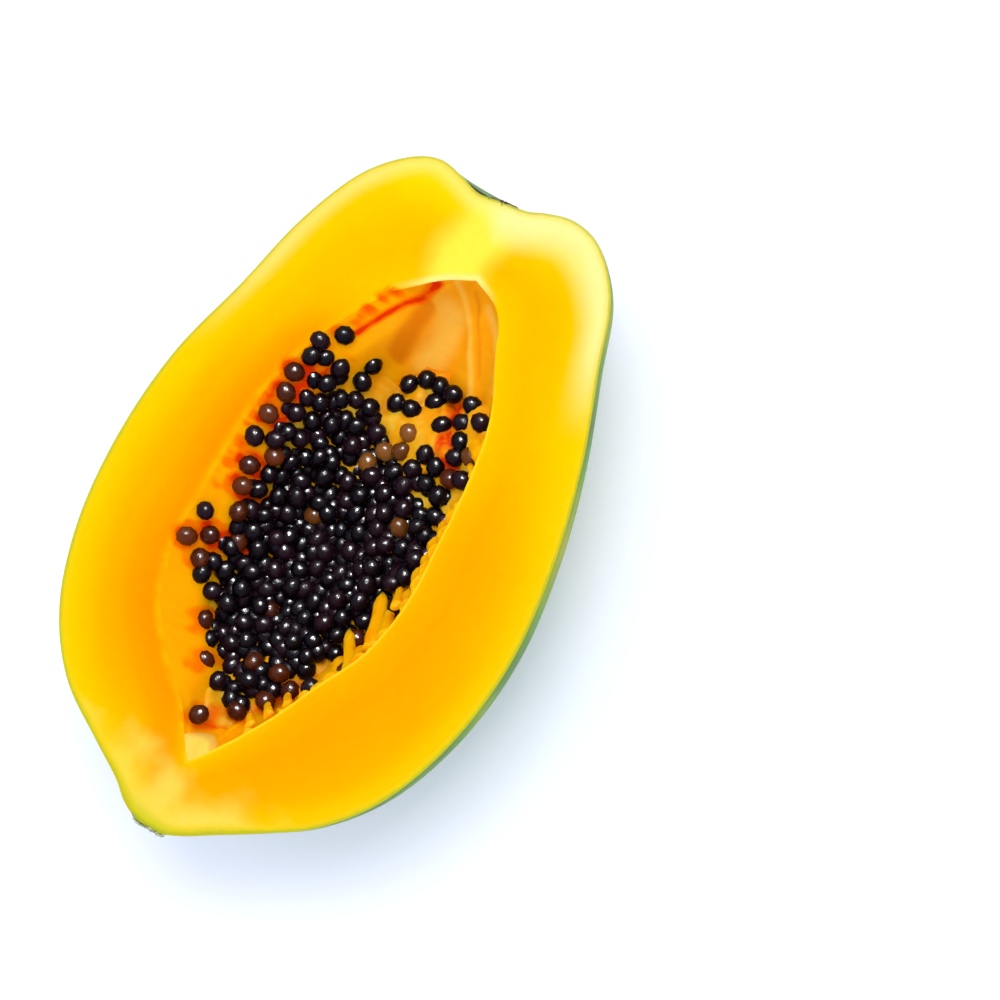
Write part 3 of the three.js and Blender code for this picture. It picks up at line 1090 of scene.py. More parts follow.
@dataclass
class FruitHalf:
    """Skin and flesh of the half, grown as one piece, with the hollow in its cut face.

    Attributes:
        stations: How many places along the fruit its meshes have.
        skin_steps: Faces from the left rim round the belly to the right rim.
        wall_steps: Faces from one rim of the cavity to the other.
        skin_rings: Distances of the cut face's rings from the skin.
        rim_rings: Distances of its rings from the cavity.
        plain_rings: Rings between those.
        edge: Width of the bevel along the skin.
        rim_wobble: How uneven the cavity's rim is on the left and on the right.
        groove: Path of the red groove near the stem end.
        stains: Path of the red stains along the left rim.
        ridge: Path of the pale ridge near the stem end.
        side_band: Path of the pale band along the right rim there.
        pocket: Path of the sunken pocket between the groove and the bright middle, with painted brown shadow in it.
        seam: Path of the dark seam right of the ridge.
        light: Path of the bright middle of the hollow at the stem end.
        facet: Middle and radius of the pale facet at the blossom end of the cavity.
        wedge: Path of the pale wedge between the stem scar and the cavity.
        stem_shift: How far the cavity's stem end turns to the right.
        rim_drop: How far the cavity's left rim is rounded down.
        rim_drop_width: And over what width.
        rim_slope: How steeply the left wall falls from it at most.
    """

    stations: int = 190
    skin_steps: int = 72
    wall_steps: int = 80
    skin_rings: tuple[float, ...] = (0.5, 1.0, 1.6, 2.4, 3.6, 5.2)
    rim_rings: tuple[float, ...] = (3.6, 1.8, 0.7)
    plain_rings: int = 6
    edge: float = 0.22
    rim_wobble: tuple[float, float] = (0.55, 0.15)
    groove: tuple[Place, ...] = (
        (61.7, 4.7), (57.9, 7.4), (53.9, 10.6), (49.3, 13.8), (44.6, 16.8), (40.5, 19.0),
    )
    stains: tuple[Place, ...] = (
        (55.0, 13.6), (51.5, 16.3), (46.2, 18.9), (40.8, 21.6), (36.4, 23.4), (29.2, 26.4), (18.9, 30.0),
        (8.0, 31.2), (-2.6, 31.2), (-9.0, 31.4),
    )
    ridge: tuple[Place, ...] = ((62.9, 0.6), (58.0, -2.0), (53.4, -4.8), (44.1, -9.4), (39.0, -11.6))
    side_band: tuple[Place, ...] = ((61.5, -7.6), (56.7, -12.4), (50.9, -16.4), (44.0, -19.0))
    pocket: tuple[Place, ...] = ((55.8, 7.4), (51.0, 8.6), (46.8, 9.6), (41.0, 11.2))
    seam: tuple[Place, ...] = ((63.4, -3.2), (58.6, -5.2), (52.6, -8.0), (46.0, -11.0))
    light: tuple[Place, ...] = ((56.0, 2.6), (49.0, 2.8), (43.0, 4.4))
    facet: tuple[float, float, float] = (-70.0, 1.4, 5.4)
    wedge: tuple[Place, ...] = ((86.5, 0.4), (78.0, 0.0), (69.5, 3.4), (64.5, 2.0))
    stem_shift: float = 4.0
    rim_drop: float = 1.7
    rim_drop_width: float = 6.0
    rim_slope: float = 0.85
    _mesh: bmesh.types.BMesh = field(default_factory=bmesh.new, init=False, repr=False)

    def build(self) -> bpy.types.Object:
        """Builds the half.

        Returns:
            The finished piece, which stands for the CAD node.
        """
        bm = self._mesh
        bm.verts.layers.float.new("station")
        bm.verts.layers.float.new("side")
        self._spin_shell(self.skin_steps, Layer.SKIN)
        self._place(Layer.SKIN, self._skin_place)
        rim = [e for e in bm.edges if e.is_boundary]
        self._draw_rings(rim)
        self._spin_shell(self.wall_steps, Layer.WALL)
        self._place(Layer.WALL, self._wall_place)
        bmesh.ops.remove_doubles(bm, verts=bm.verts, dist=TINY)
        bmesh.ops.recalc_face_normals(bm, faces=bm.faces)
        self._bevel_edge()
        self._roughen_wall()
        marks = self._marks()
        self._soften_rim(marks["rim_depth"])
        into_frame(bm)
        finishes = [WaxySkin().material(), CutFlesh().material(), CavityWall().material()]
        piece = finished_piece("fruit_half", bm, finishes)
        for name, values in marks.items():
            attribute = piece.data.attributes.new(name, "FLOAT", "POINT")
            attribute.data.foreach_set("value", values)
        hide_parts("papaya_half")
        return piece

    def _spin_shell(self, steps: int, layer: Layer) -> None:
        """Spins a straight line half a turn about the fruit's axis.

        Args:
            steps: Faces round the half turn.
            layer: Which surface the new faces are.
        """
        bm = self._mesh
        station = bm.verts.layers.float["station"]
        line = []
        for i in range(self.stations):
            share = i / (self.stations - 1)
            end = i in (0, self.stations - 1)
            vert = bm.verts.new((share, 0.0 if end else 1.0, 0.0))
            vert[station] = share
            line.append(vert)
        edges = [bm.edges.new(pair) for pair in zip(line, line[1:])]
        old = set(bm.faces)
        bmesh.ops.spin(
            bm, geom=line + edges, cent=(0, 0, 0), axis=(-1, 0, 0), angle=math.pi, steps=steps,
            use_merge=False, use_duplicate=False, use_normal_flip=False,
        )
        for face in bm.faces:
            if face not in old:
                face.material_index = layer.value

    def _place(self, layer: Layer, rule: Callable[[float, float], Vector]) -> None:
        """Moves the corners of a spun surface to their real places.

        Args:
            layer: Which surface.
            rule: Gives the place for a station and an angle.
        """
        bm = self._mesh
        station, side = (bm.verts.layers.float[name] for name in ("station", "side"))
        corners = {v for f in bm.faces if f.material_index == layer.value for v in f.verts}
        for vert in corners:
            angle = math.atan2(max(0.0, -vert.co.z), vert.co.y)
            vert[side] = angle
            vert.co = rule(vert[station], angle)
        bmesh.ops.remove_doubles(bm, verts=list(corners), dist=TINY)

    @staticmethod
    def _skin_place(station: float, angle: float) -> Vector:
        """Gives a place on the skin.

        Args:
            station: From 0 at the blossom tip to 1 at the stem scar.
            angle: From the left rim.

        Returns:
            The place.
        """
        return FRUIT.skin(station, angle)

    def _wall_place(self, station: float, angle: float) -> Vector:
        """Gives a place on the cavity's wall.

        Args:
            station: From 0 at its blossom end to 1 at its stem end.
            angle: From the left rim.

        Returns:
            The place.
        """
        share = (1.0 - math.cos(math.pi * station)) / 2.0
        x = lerp(CAVITY.first, CAVITY.last, share)
        left = math.cos(angle) > 0
        width = CAVITY.value(x, 1 if left else 2) if 0.0 < station < 1.0 else 0.0
        uneven = self.rim_wobble[0 if left else 1] * abs(math.cos(angle)) ** 4
        width += uneven * wobble(x, 0.0, 0.0, 4.0, 1 if left else 2) * smooth(width, 0.0, 6.0)
        middle = CAVITY.middle(x) - self.stem_shift * smooth(x, 49.0, 64.0)
        return Vector((x, middle + width * math.cos(angle), CAVITY.wall(x, angle)))

    def _draw_rings(self, rim: list[bmesh.types.BMEdge]) -> None:
        """Draws the cut face inwards, ring by ring, from the skin to the cavity.

        Args:
            rim: The edges along the skin.
        """
        bm = self._mesh
        station, side = (bm.verts.layers.float[name] for name in ("station", "side"))
        count = len(self.skin_rings) + self.plain_rings + len(self.rim_rings) + 1
        edges = rim
        for ring in range(count):
            drawn = bmesh.ops.extrude_edge_only(bm, edges=edges)["geom"]
            edges = [g for g in drawn if isinstance(g, bmesh.types.BMEdge) and g.is_boundary]
            for vert in (g for g in drawn if isinstance(g, bmesh.types.BMVert)):
                angle = math.pi if vert[side] > math.pi / 2 else 0.0
                outer = FRUIT.skin(vert[station], angle)
                inner = self._wall_place(vert[station], angle)
                vert.co = outer.lerp(inner, self._ring_share(ring, count, (inner - outer).length))
            for face in (g for g in drawn if isinstance(g, bmesh.types.BMFace)):
                face.material_index = Layer.FLESH.value

    def _ring_share(self, ring: int, count: int, width: float) -> float:
        """Gives how far inwards a ring lies.

        Args:
            ring: Its number.
            count: How many rings there are.
            width: Distance from the skin to the cavity there.

        Returns:
            The share of that distance.
        """
        if ring == count - 1:
            return 1.0
        if ring < len(self.skin_rings):
            return self.skin_rings[ring] / width
        first = self.skin_rings[-1] / width
        last = 1.0 - self.rim_rings[0] / width
        plain = ring - len(self.skin_rings) + 1
        if plain <= self.plain_rings:
            return lerp(first, last, plain / (self.plain_rings + 1))
        return 1.0 - self.rim_rings[plain - self.plain_rings - 1] / width

    def _bevel_edge(self) -> None:
        """Rounds the edge between the skin and the cut face a little."""
        bm = self._mesh
        pair = {Layer.SKIN.value, Layer.FLESH.value}
        edges = [e for e in bm.edges if {f.material_index for f in e.link_faces} == pair]
        bmesh.ops.bevel(
            bm, geom=edges, offset=self.edge, offset_type="OFFSET", segments=2, profile=0.5,
            affect="EDGES", material=-1, clamp_overlap=True,
        )

    def _roughen_wall(self) -> None:
        """Raises the ridge, sinks the groove and makes the cavity's wall stringy."""
        wall = {v for f in self._mesh.faces if f.material_index == Layer.WALL.value for v in f.verts}
        for vert in wall:
            x, y, z = vert.co
            if z > -TINY:
                continue
            inside = smooth(-z, 0.0, 2.5)
            ridge = math.exp(-((path_distance(x, y, self.ridge) / 1.3) ** 2))
            groove = math.exp(-((path_distance(x, y, self.groove) / 1.1) ** 2))
            pocket = math.exp(-((path_distance(x, y, self.pocket) / 1.7) ** 2))
            strings = wobble(x, y / 5.0, z / 5.0, 1.7) + 0.6 * wobble(x, y, z, 3.2, 3)
            sunk = 0.9 * groove + 0.8 * pocket
            vert.co.z += inside * (1.0 * ridge - sunk + 0.32 * strings)

    @classmethod
    def left_slope(cls, depth: float) -> float:
        """Gives the lowest height that the left wall has near its rim.

        Args:
            depth: Distance from the rim.

        Returns:
            The height.
        """
        return -cls.rim_drop - cls.rim_slope * depth

    def _soften_rim(self, rim_depth: list[float]) -> None:
        """Rounds the cavity's left rim down.

        Args:
            rim_depth: Distance of each corner from the cavity's rim.
        """
        skin, wall = (
            {v for f in self._mesh.faces if f.material_index == layer.value for v in f.verts}
            for layer in (Layer.SKIN, Layer.WALL)
        )
        for vert, depth in zip(self._mesh.verts, rim_depth):
            if vert in skin:
                continue
            x, y, _ = vert.co
            left = smooth(y - CAVITY.middle(x), 4.0, 12.0) * smooth(x, 60.0, 52.0)
            drop = smooth(depth, self.rim_drop_width, 0.0) ** 1.5
            vert.co.z -= left * self.rim_drop * drop
            if vert in wall:
                slope = max(vert.co.z, self.left_slope(depth))
                vert.co.z = lerp(vert.co.z, slope, left * smooth(depth, 12.0, 7.0))
            far = math.hypot(x - self.facet[0], y - self.facet[1])
            if vert in wall and depth > TINY:
                shelf = smooth(far, self.facet[2], 0.6 * self.facet[2])
                vert.co.z = lerp(vert.co.z, -0.3 - 0.8 * depth, shelf)

    def _marks(self) -> dict[str, list[float]]:
        """Works out the numbers that the finishes read at each corner.

        Returns:
            For each name, one number a corner: distances from the skin and from the cavity
            on the cut face, how red, pale and bright the wall is, its painted pocket shadow and dark seam, and the
            pale wedge.
        """
        rows = np.array([tuple(v.co) for v in self._mesh.verts])
        turns = (0.0, math.pi)
        shares = [i / (self.stations - 1) for i in range(self.stations)]
        skin = [np.array([FRUIT.skin(s, a)[:2] for s in shares]) for a in turns]
        rim = [np.array([self._wall_place(s, a)[:2] for s in shares]) for a in turns]
        red, pale, wedge, pocket_shadow_and_seam, light = [], [], [], [], []
        for x, y, z in rows:
            groove = math.exp(-((path_distance(x, y, self.groove) / 0.8) ** 2)) if z < -0.05 else 0.0
            groove *= 1.0 + 0.3 * wobble(x, y, 0.0, 5.0, 8)
            streaks = clamp(0.5 + 1.4 * wobble(x, y / 3.0, 0.0, 2.2, 4))
            stain = 0.85 * math.exp(-((path_distance(x, y, self.stains) / 1.9) ** 2)) * streaks
            red.append(max(groove, stain, SeedPile.glow(x, y)))
            # Painted shadow in the sunken pocket, together with the dark seam right of the ridge.
            pocket = math.exp(-((path_distance(x, y, self.pocket) / 1.5) ** 2))
            seam = 0.6 * math.exp(-((path_distance(x, y, self.seam) / 0.8) ** 2))
            pocket_shadow_and_seam.append(max(pocket, seam))
            light.append(math.exp(-((path_distance(x, y, self.light) / 4.2) ** 2)))
            ridge = 0.6 * math.exp(-((path_distance(x, y, self.ridge) / 1.5) ** 2))
            band = 0.6 * math.exp(-((path_distance(x, y, self.side_band) / 1.9) ** 2))
            far = math.hypot(x - self.facet[0], y - self.facet[1])
            pale.append(max(ridge, band, smooth(far, self.facet[2], self.facet[2] - 1.2)))
            wedge.append(smooth(path_distance(x, y, self.wedge), 13.0, 1.0))
        return {
            "skin_depth": list(self._nearest(rows, skin)),
            "rim_depth": list(self._nearest(rows, rim)),
            "red": red,
            "pale": pale,
            "wedge": wedge,
            "pocket_shadow_and_seam": pocket_shadow_and_seam,
            "light": light,
        }

    @staticmethod
    def _nearest(rows: np.ndarray, lines: list[np.ndarray]) -> np.ndarray:
        """Measures the distance from each place to the nearest of some lines, seen from above.

        Args:
            rows: The places.
            lines: The corners of each line.

        Returns:
            The distances.
        """
        nearest = np.full(len(rows), np.inf)
        for line in lines:
            for start, end in zip(line, line[1:]):
                stretch = end - start
                square = max(float(stretch @ stretch), 1e-12)
                share = np.clip((rows[:, :2] - start) @ stretch / square, 0.0, 1.0)
                gap = rows[:, :2] - start - share[:, None] * stretch
                nearest = np.minimum(nearest, np.hypot(gap[:, 0], gap[:, 1]))
        return nearest


@dataclass
class EndCrust:
    """Dried tissue on an end of the fruit, lying on the skin.

    Attributes:
        name: The piece's name.
        near: Station of its middle, 0 at the blossom tip or 1 at the stem scar.
        far: Station where it ends.
        turn: First and last angle that it covers.
        thickness: How thick it is.
        rings: Faces from its middle to its edge.
        steps: Faces round it.
        finish: Its finish.
    """

    name: str
    near: float
    far: float
    turn: tuple[float, float]
    thickness: float
    finish: DryBark
    rings: int = 8
    steps: int = 40

    def build(self) -> bpy.types.Object:
        """Builds the crust.

        Returns:
            The finished piece.
        """
        bm = bmesh.new()
        bmesh.ops.create_grid(bm, x_segments=self.rings, y_segments=self.steps, size=1.0)
        for vert in bm.verts:
            out, round_share = (vert.co.x + 1.0) / 2.0, (vert.co.y + 1.0) / 2.0
            angle = lerp(*self.turn, round_share)
            ragged = 1.0 + 0.3 * wobble(3.0 * math.cos(angle), 3.0 * math.sin(angle), self.near, 1.0)
            station = lerp(self.near, self.far, out * ragged)
            edge = smooth(out, 1.0, 0.7)
            lift = self.thickness * edge * (0.7 + 0.5 * wobble(10.0 * out, 6.0 * angle, 0.0, 1.0))
            place = FRUIT.skin(station, angle, 0.12 - lift)
            end = math.copysign(1.0, self.near - 0.5)
            vert.co = place + Vector((end * (lift - 0.1), 0.0, 0.0))
        bmesh.ops.remove_doubles(bm, verts=bm.verts, dist=0.01)
        bmesh.ops.recalc_face_normals(bm, faces=bm.faces)
        bmesh.ops.solidify(bm, geom=bm.faces, thickness=0.35)
        bmesh.ops.recalc_face_normals(bm, faces=bm.faces)
        into_frame(bm)
        return finished_piece(self.name, bm, [self.finish.material()])


class SeedKind(Enum):
    """How ripe a seed's coat is."""

    BLACK = "black"
    BROWN = "brown"
    AMBER = "amber"


@dataclass
class Seed:
    """One seed.

    Attributes:
        place: Its middle.
        turns: Its turns about the upright, the sideways and the lengthwise axis.
        kind: How ripe it is.
        stray: Whether it lies on the wall, away from the pile.
        size: Its size against the usual one.
    """

    place: Vector
    turns: tuple[float, float, float]
    kind: SeedKind = SeedKind.BLACK
    stray: bool = False
    size: float = 1.0


@dataclass
class SeedPile:
    """The seeds, and the pulp that holds them.

    Attributes:
        field_edge: Outline of the pile, seen from above.
        bare: Middle and radius of the bare patches in it.
        fringe: How far outside it stray seeds lie.
        stray_share: Share of the places there that hold one.
        stray_to: Nearer the stem end the wall is bare.
        length: Length of a seed.
        width: Its width.
        pitch: The side of the triangles of the grid that the seeds start from.
        grid_from: The grid's corner.
        grid_size: Its length and width.
        jitter: How far a seed is moved from it.
        turn: Largest turn of a seed.
        lift: Height of the seeds' middles over the wall at the edge of the pile.
        crown: How much higher they lie where the pile is thickest.
        bump: How much one seed stands higher or lower than the next.
        edge: Distance over which the pile rises to its crown.
        stray_lift: Height of a stray seed's middle over the wall.
        stray_nearest: How near to the pile a stray seed lies.
        ceiling: No seed's middle is higher than this.
        placed: Seeds that have a place of their own along the edge of the pile: place and kind.
        opened: Middle and radius of the loose end of the pile, where every seed has its place.
        shown_bare: Middle and radius of places where pulp shows in place of top seeds.
        loosened: How far the seeds roll from the grid's places, sideways and in height.
        juice: Both ends of red streaks between the seeds.
    """

    field_edge: tuple[Place, ...] = (
        (42, 21), (31, 27), (18, 29.4), (2, 29), (-14, 29.6), (-27, 30.4), (-38, 25), (-47, 18),
        (-57, 10), (-64, 5), (-62, 0), (-54, -5), (-44, -10), (-33, -15), (-22, -19),
        (-10, -22.6), (4, -25), (18, -24.4), (31, -23.6), (40, -19.6), (41.6, -12), (36, -9),
        (38, -4), (44, -2.4), (43, 5), (35, 9), (36, 14),
    )
    bare: tuple[tuple[float, float, float], ...] = (
        (30.5, -14.2, 4.6), (27.6, -2.0, 3.4), (-29.0, 4.0, 2.6), (8.6, -17.8, 2.4),
    )
    fringe: float = 12.0
    stray_share: float = 0.4
    stray_to: float = 30.0
    length: float = 6.3
    width: float = 5.4
    pitch: float = 5.3
    grid_from: Place = (-72.0, -30.0)
    grid_size: Place = (122.0, 68.0)
    jitter: float = 0.7
    turn: float = 0.9
    lift: float = 3.1
    crown: float = 7.2
    bump: float = 0.9
    edge: float = 10.0
    stray_lift: float = 1.5
    stray_nearest: float = 5.35
    ceiling: float = -2.8
    placed: tuple[tuple[float, float, SeedKind], ...] = (
        (38.6, 20.9, SeedKind.BLACK), (30.0, 25.7, SeedKind.BLACK), (24.4, 27.6, SeedKind.BROWN),
        (18.9, 27.5, SeedKind.BROWN), (12.1, 28.7, SeedKind.BROWN), (5.5, 29.1, SeedKind.BLACK),
        (-1.6, 27.1, SeedKind.BROWN), (-7.1, 26.4, SeedKind.BROWN), (-24.8, 31.3, SeedKind.BROWN),
        (-21.9, 27.4, SeedKind.BROWN), (-20.0, 22.3, SeedKind.BROWN), (-28.2, 26.8, SeedKind.BROWN),
        (-31.5, 24.8, SeedKind.BLACK), (-34.2, 21.6, SeedKind.BLACK), (-41.6, 19.4, SeedKind.BROWN),
        (-50.1, 13.7, SeedKind.BROWN), (-53.2, 8.7, SeedKind.BLACK), (-62.0, 5.9, SeedKind.BROWN),
        (-57.1, 0.2, SeedKind.BROWN), (-26.9, -16.5, SeedKind.BROWN), (-14.6, -22.6, SeedKind.BROWN),
        (-46.5, -8.7, SeedKind.BROWN), (-51.5, -4.7, SeedKind.BROWN), (-37.1, -7.7, SeedKind.BLACK),
        (-44.4, 3.2, SeedKind.BROWN), (-43.9, -4.1, SeedKind.BROWN), (-4.9, 10.5, SeedKind.AMBER),
        (2.9, -12.1, SeedKind.AMBER), (36.5, 5.6, SeedKind.BLACK), (39.6, 1.7, SeedKind.BLACK),
        (39.7, -1.9, SeedKind.BLACK), (39.3, -6.8, SeedKind.BLACK), (35.4, -3.1, SeedKind.BLACK),
        (30.9, 1.2, SeedKind.BLACK), (30.5, 6.0, SeedKind.BLACK), (26.2, 10.5, SeedKind.BLACK),
        (36.1, 14.8, SeedKind.BLACK), (30.9, 19.4, SeedKind.BLACK), (31.0, 15.2, SeedKind.BLACK),
        (30.8, -8.8, SeedKind.BLACK), (25.2, -1.8, SeedKind.AMBER), (20.2, -2.0, SeedKind.AMBER),
        (13.7, 5.0, SeedKind.AMBER), (18.2, 1.9, SeedKind.AMBER), (22.2, -9.3, SeedKind.BLACK),
        (17.6, -8.1, SeedKind.BLACK), (20.6, -13.4, SeedKind.BLACK), (14.7, -2.9, SeedKind.BLACK),
        (12.8, -7.8, SeedKind.BLACK), (16.0, -13.0, SeedKind.BLACK), (19.7, -18.3, SeedKind.BROWN),
        (20.7, -22.4, SeedKind.BLACK), (26.8, -21.8, SeedKind.AMBER), (38.7, -14.0, SeedKind.BLACK),
        (33.6, -14.0, SeedKind.BLACK), (29.2, -16.4, SeedKind.BLACK), (35.6, -19.4, SeedKind.BLACK),
        (21.4, 6.4, SeedKind.BLACK), (25.2, -17.2, SeedKind.BLACK), (14.5, -17.6, SeedKind.BLACK),
    )
    opened: tuple[tuple[float, float, float], ...] = ((30.0, -8.0, 17.0), (34.0, 14.5, 9.0))
    shown_bare: tuple[tuple[float, float, float], ...] = (
        (-15.7, -21.9, 2.4), (-22.8, -20.4, 3.4), (-30.7, -18.0, 3.2), (-36.7, -15.7, 2.8),
        (-44.5, -12.8, 2.8), (5.8, -23.4, 3.2), (1.0, -22.4, 2.6),
    )
    loosened: tuple[float, float] = (1.25, 0.8)
    juice: tuple[tuple[float, float, float, float], ...] = (
        (36.0, -9.0, 27.5, -12.5), (30.0, 23.0, 24.0, 24.5), (26.0, -13.0, 22.0, -17.0),
    )

    def build(self) -> list[bpy.types.Object]:
        """Builds the seeds and the pulp under them.

        Returns:
            The finished pieces, which stand for the CAD node.
        """
        seeds = list(self._chosen(list(self._grid())))
        finishes = {
            SeedKind.BLACK: WetSeed(
                "ripe_seed", (0.002, 0.0005, 0.002), (0.012, 0.002, 0.005), (0.016, 0.005, 0.008)
            ),
            SeedKind.BROWN: WetSeed(
                "brown_seed", (0.05, 0.007, 0.001), (0.12, 0.023, 0.002), (0.15, 0.04, 0.008)
            ),
            SeedKind.AMBER: WetSeed(
                "amber_seed", (0.12, 0.035, 0.003), (0.24, 0.085, 0.01), (0.26, 0.11, 0.03)
            ),
        }
        pieces = []
        for kind in SeedKind:
            chosen = [seed for seed in seeds if seed.kind is kind]
            pieces.append(self._seed_piece(f"{kind.value}_seeds", chosen, finishes[kind]))
        bed = self._bed()
        for piece in pieces + [bed]:
            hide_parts("seed_pile")
        log.info("seeds: %d", len(seeds))
        return pieces + [bed]

    @classmethod
    def glow(cls, x: float, y: float) -> float:
        """Gives how red the juice of the brown seeds stains what lies round them.

        Args:
            x: Place along the fruit.
            y: Place across it.

        Returns:
            The stain, from 0 to 1.
        """
        near = min(
            math.hypot(x - px, y - py) for px, py, kind in cls.placed
            if kind is SeedKind.BROWN and (py > 0.0 or px < -45.0)
        )
        for ax, ay, bx, by in cls.juice:
            near = min(near, 1.6 + path_distance(x, y, ((ax, ay), (bx, by))))
        streaks = clamp(0.8 + 0.9 * wobble(x, y, 0.0, 3.0, 5))
        return smooth(near, 5.4, 2.8) * streaks * lerp(0.5, 1.0, smooth(x, -34.0, -22.0))

    def depth(self, x: float, y: float) -> float:
        """Measures how far inside the pile's outline a place is.

        Args:
            x: Place along the fruit.
            y: Place across it.

        Returns:
            The distance to the outline, less than 0 outside it.
        """
        loop = self.field_edge + self.field_edge[:1]
        inside = False
        for (ax, ay), (bx, by) in zip(loop, loop[1:]):
            if (ay > y) != (by > y) and x < ax + (bx - ax) * (y - ay) / (by - ay):
                inside = not inside
        away = path_distance(x, y, loop)
        return away if inside else -away

    def height(self, x: float, y: float) -> float:
        """Gives the height of the pile's top seeds at their middles.

        Args:
            x: Place along the fruit.
            y: Place across it.

        Returns:
            The height.
        """
        angle = CAVITY.angle(x, y)
        if angle is None:
            return self.ceiling
        crown = self.crown * clamp(self.depth(x, y) / self.edge) * math.sin(angle)
        height = CAVITY.wall(x, angle) + self.lift + crown
        from_rim = CAVITY.value(x, 1) - (y - CAVITY.middle(x))
        on_slope = FruitHalf.left_slope(from_rim) + self.stray_lift
        return lerp(height, max(height, on_slope), smooth(from_rim, 12.0, 7.0))

    def _grid(self) -> Iterator[Seed]:
        """Goes through the seeds that the CAD also has.

        Yields:
            Each seed.
        """
        stream = DrawStream(20260)
        row_step = self.pitch * math.sqrt(0.75)
        for row in range(math.ceil(self.grid_size[1] / row_step)):
            for column in range(math.ceil(self.grid_size[0] / self.pitch)):
                x = self.grid_from[0] + (column + (row % 2) / 2) * self.pitch + self.jitter * stream.spread()
                y = self.grid_from[1] + row * row_step + self.jitter * stream.spread()
                turns = tuple(stream.spread() * self.turn for _ in range(3))
                bump, chance = stream.spread(), stream.draw()
                angle, inside = CAVITY.angle(x, y), self.depth(x, y)
                if angle is None or inside < -self.fringe:
                    continue
                if any(math.hypot(x - px, y - py) < radius for px, py, radius in self.bare):
                    continue
                stray = inside < 0
                if stray and (chance > self.stray_share or inside > -self.stray_nearest or x > self.stray_to):
                    continue
                z = self.height(x, y)
                z = z + self.stray_lift - self.lift if stray else z + self.bump * bump
                yield Seed(Vector((x, y, min(z, self.ceiling))), turns, stray=stray)

    def _chosen(self, grid: list[Seed]) -> Iterator[Seed]:
        """Adds to the grid's seeds those with a place of their own and a layer underneath.

        Args:
            grid: The seeds that the CAD also has.

        Yields:
            Each seed, with its kind.
        """
        stream = DrawStream(4711)
        for x, y, kind in self.placed:
            turns = tuple(stream.spread() * self.turn for _ in range(3))
            z = min(self.height(x, y) - 0.6, self.ceiling)
            yield Seed(Vector((x, y, z)), turns, kind, size=0.95)
        for seed in grid:
            roll = Vector((stream.spread(), stream.spread(), stream.spread()))
            chance, size = stream.draw(), 0.87 + 0.14 * stream.draw()
            x, y, z = seed.place
            inside = self.depth(x, y)
            if any(math.hypot(x - px, y - py) < radius for px, py, radius in self.opened):
                continue
            if inside > 2.0:
                for side in (-1.0, 1.0):
                    aside = Vector((0.5 * self.pitch, side * 0.29 * self.pitch, -3.1 + 0.5 * roll.z))
                    yield Seed(seed.place + aside, seed.turns[::-1], SeedKind.BLACK, size=size)
            near = min(math.hypot(x - px, y - py) for px, py, _ in self.placed)
            bare = any(math.hypot(x - px, y - py) < radius for px, py, radius in self.shown_bare)
            if near < 4.0 or bare:
                continue
            sideways, upright = self.loosened
            seed.place += Vector((sideways * roll.x, sideways * roll.y, upright * roll.z))
            seed.place.z = min(seed.place.z, self.ceiling)
            seed.size = size
            seed.kind = SeedKind.BROWN if chance < (0.25 if seed.stray else 0.06) else SeedKind.BLACK
            yield seed

    def _seed_piece(self, name: str, seeds: list[Seed], finish: WetSeed) -> bpy.types.Object:
        """Joins seeds of one finish into a piece.

        Args:
            name: The piece's name.
            seeds: The seeds.
            finish: Their finish.

        Returns:
            The piece.
        """
        bm = bmesh.new()
        tone = bm.verts.layers.float.new("tone")
        stream = DrawStream(911)
        for seed in seeds:
            turn = (
                Matrix.Rotation(seed.turns[2], 4, "X") @ Matrix.Rotation(seed.turns[1], 4, "Y")
                @ Matrix.Rotation(2.0 * seed.turns[0], 4, "Z")
            )
            half = (self.length / 2 * seed.size, self.width / 2 * seed.size, self.width / 2 * seed.size)
            move = Matrix.Translation(seed.place) @ turn @ Matrix.Diagonal((*half, 1.0))
            verts = bmesh.ops.create_uvsphere(bm, u_segments=9, v_segments=6, radius=1.0)["verts"]
            shade = stream.draw()
            for vert in verts:
                vert[tone] = shade
                lump = 1.0 + 0.05 * wobble(*vert.co, 0.9, shade)
                pointed = 1.0 - 0.12 * smooth(vert.co.x, 0.2, 1.0)
                vert.co = Vector((vert.co.x, vert.co.y * pointed, vert.co.z * pointed)) * lump
            bmesh.ops.transform(bm, matrix=move, verts=verts)
        into_frame(bm)
        return finished_piece(name, bm, [finish.material()])

    def _bed(self) -> bpy.types.Object:
        """Builds the lumpy pulp that the seeds sit in.

        Returns:
            The piece.
        """
        bm = bmesh.new()
        bmesh.ops.create_grid(bm, x_segments=110, y_segments=62, size=1.0)
        bmesh.ops.transform(
            bm, matrix=Matrix.Translation((-9.5, 2.0, 0.0)) @ Matrix.Diagonal((54.5, 31.0, 1.0, 1.0)),
            verts=bm.verts,
        )
        red = bm.verts.layers.float.new("red")
        outside = [v for v in bm.verts if self.depth(v.co.x, v.co.y) < -1.2 or CAVITY.angle(v.co.x, v.co.y) is None]
        bmesh.ops.delete(bm, geom=outside, context="VERTS")
        for vert in bm.verts:
            x, y, _ = vert.co
            wall = CAVITY.height(x, y)
            lumps = 0.9 * wobble(x, y, 0.0, 3.4, 6) + 0.5 * wobble(x, y, 0.0, 1.6, 7)
            px, py, reach = self.opened[0]
            loose = smooth(math.hypot(x - px, y - py), reach, 0.6 * reach)
            top = self.height(x, y) - 2.5 + lumps + 2.1 * loose
            vert.co.z = min(lerp(wall - 1.0, top, smooth(self.depth(x, y), -1.0, 1.5)), self.ceiling - 1.2)
            vert[red] = self.glow(x, y)
        bmesh.ops.solidify(bm, geom=bm.faces, thickness=1.2)
        bmesh.ops.recalc_face_normals(bm, faces=bm.faces)
        into_frame(bm)
        return finished_piece("pulp_bed", bm, [WetPulp().material()])


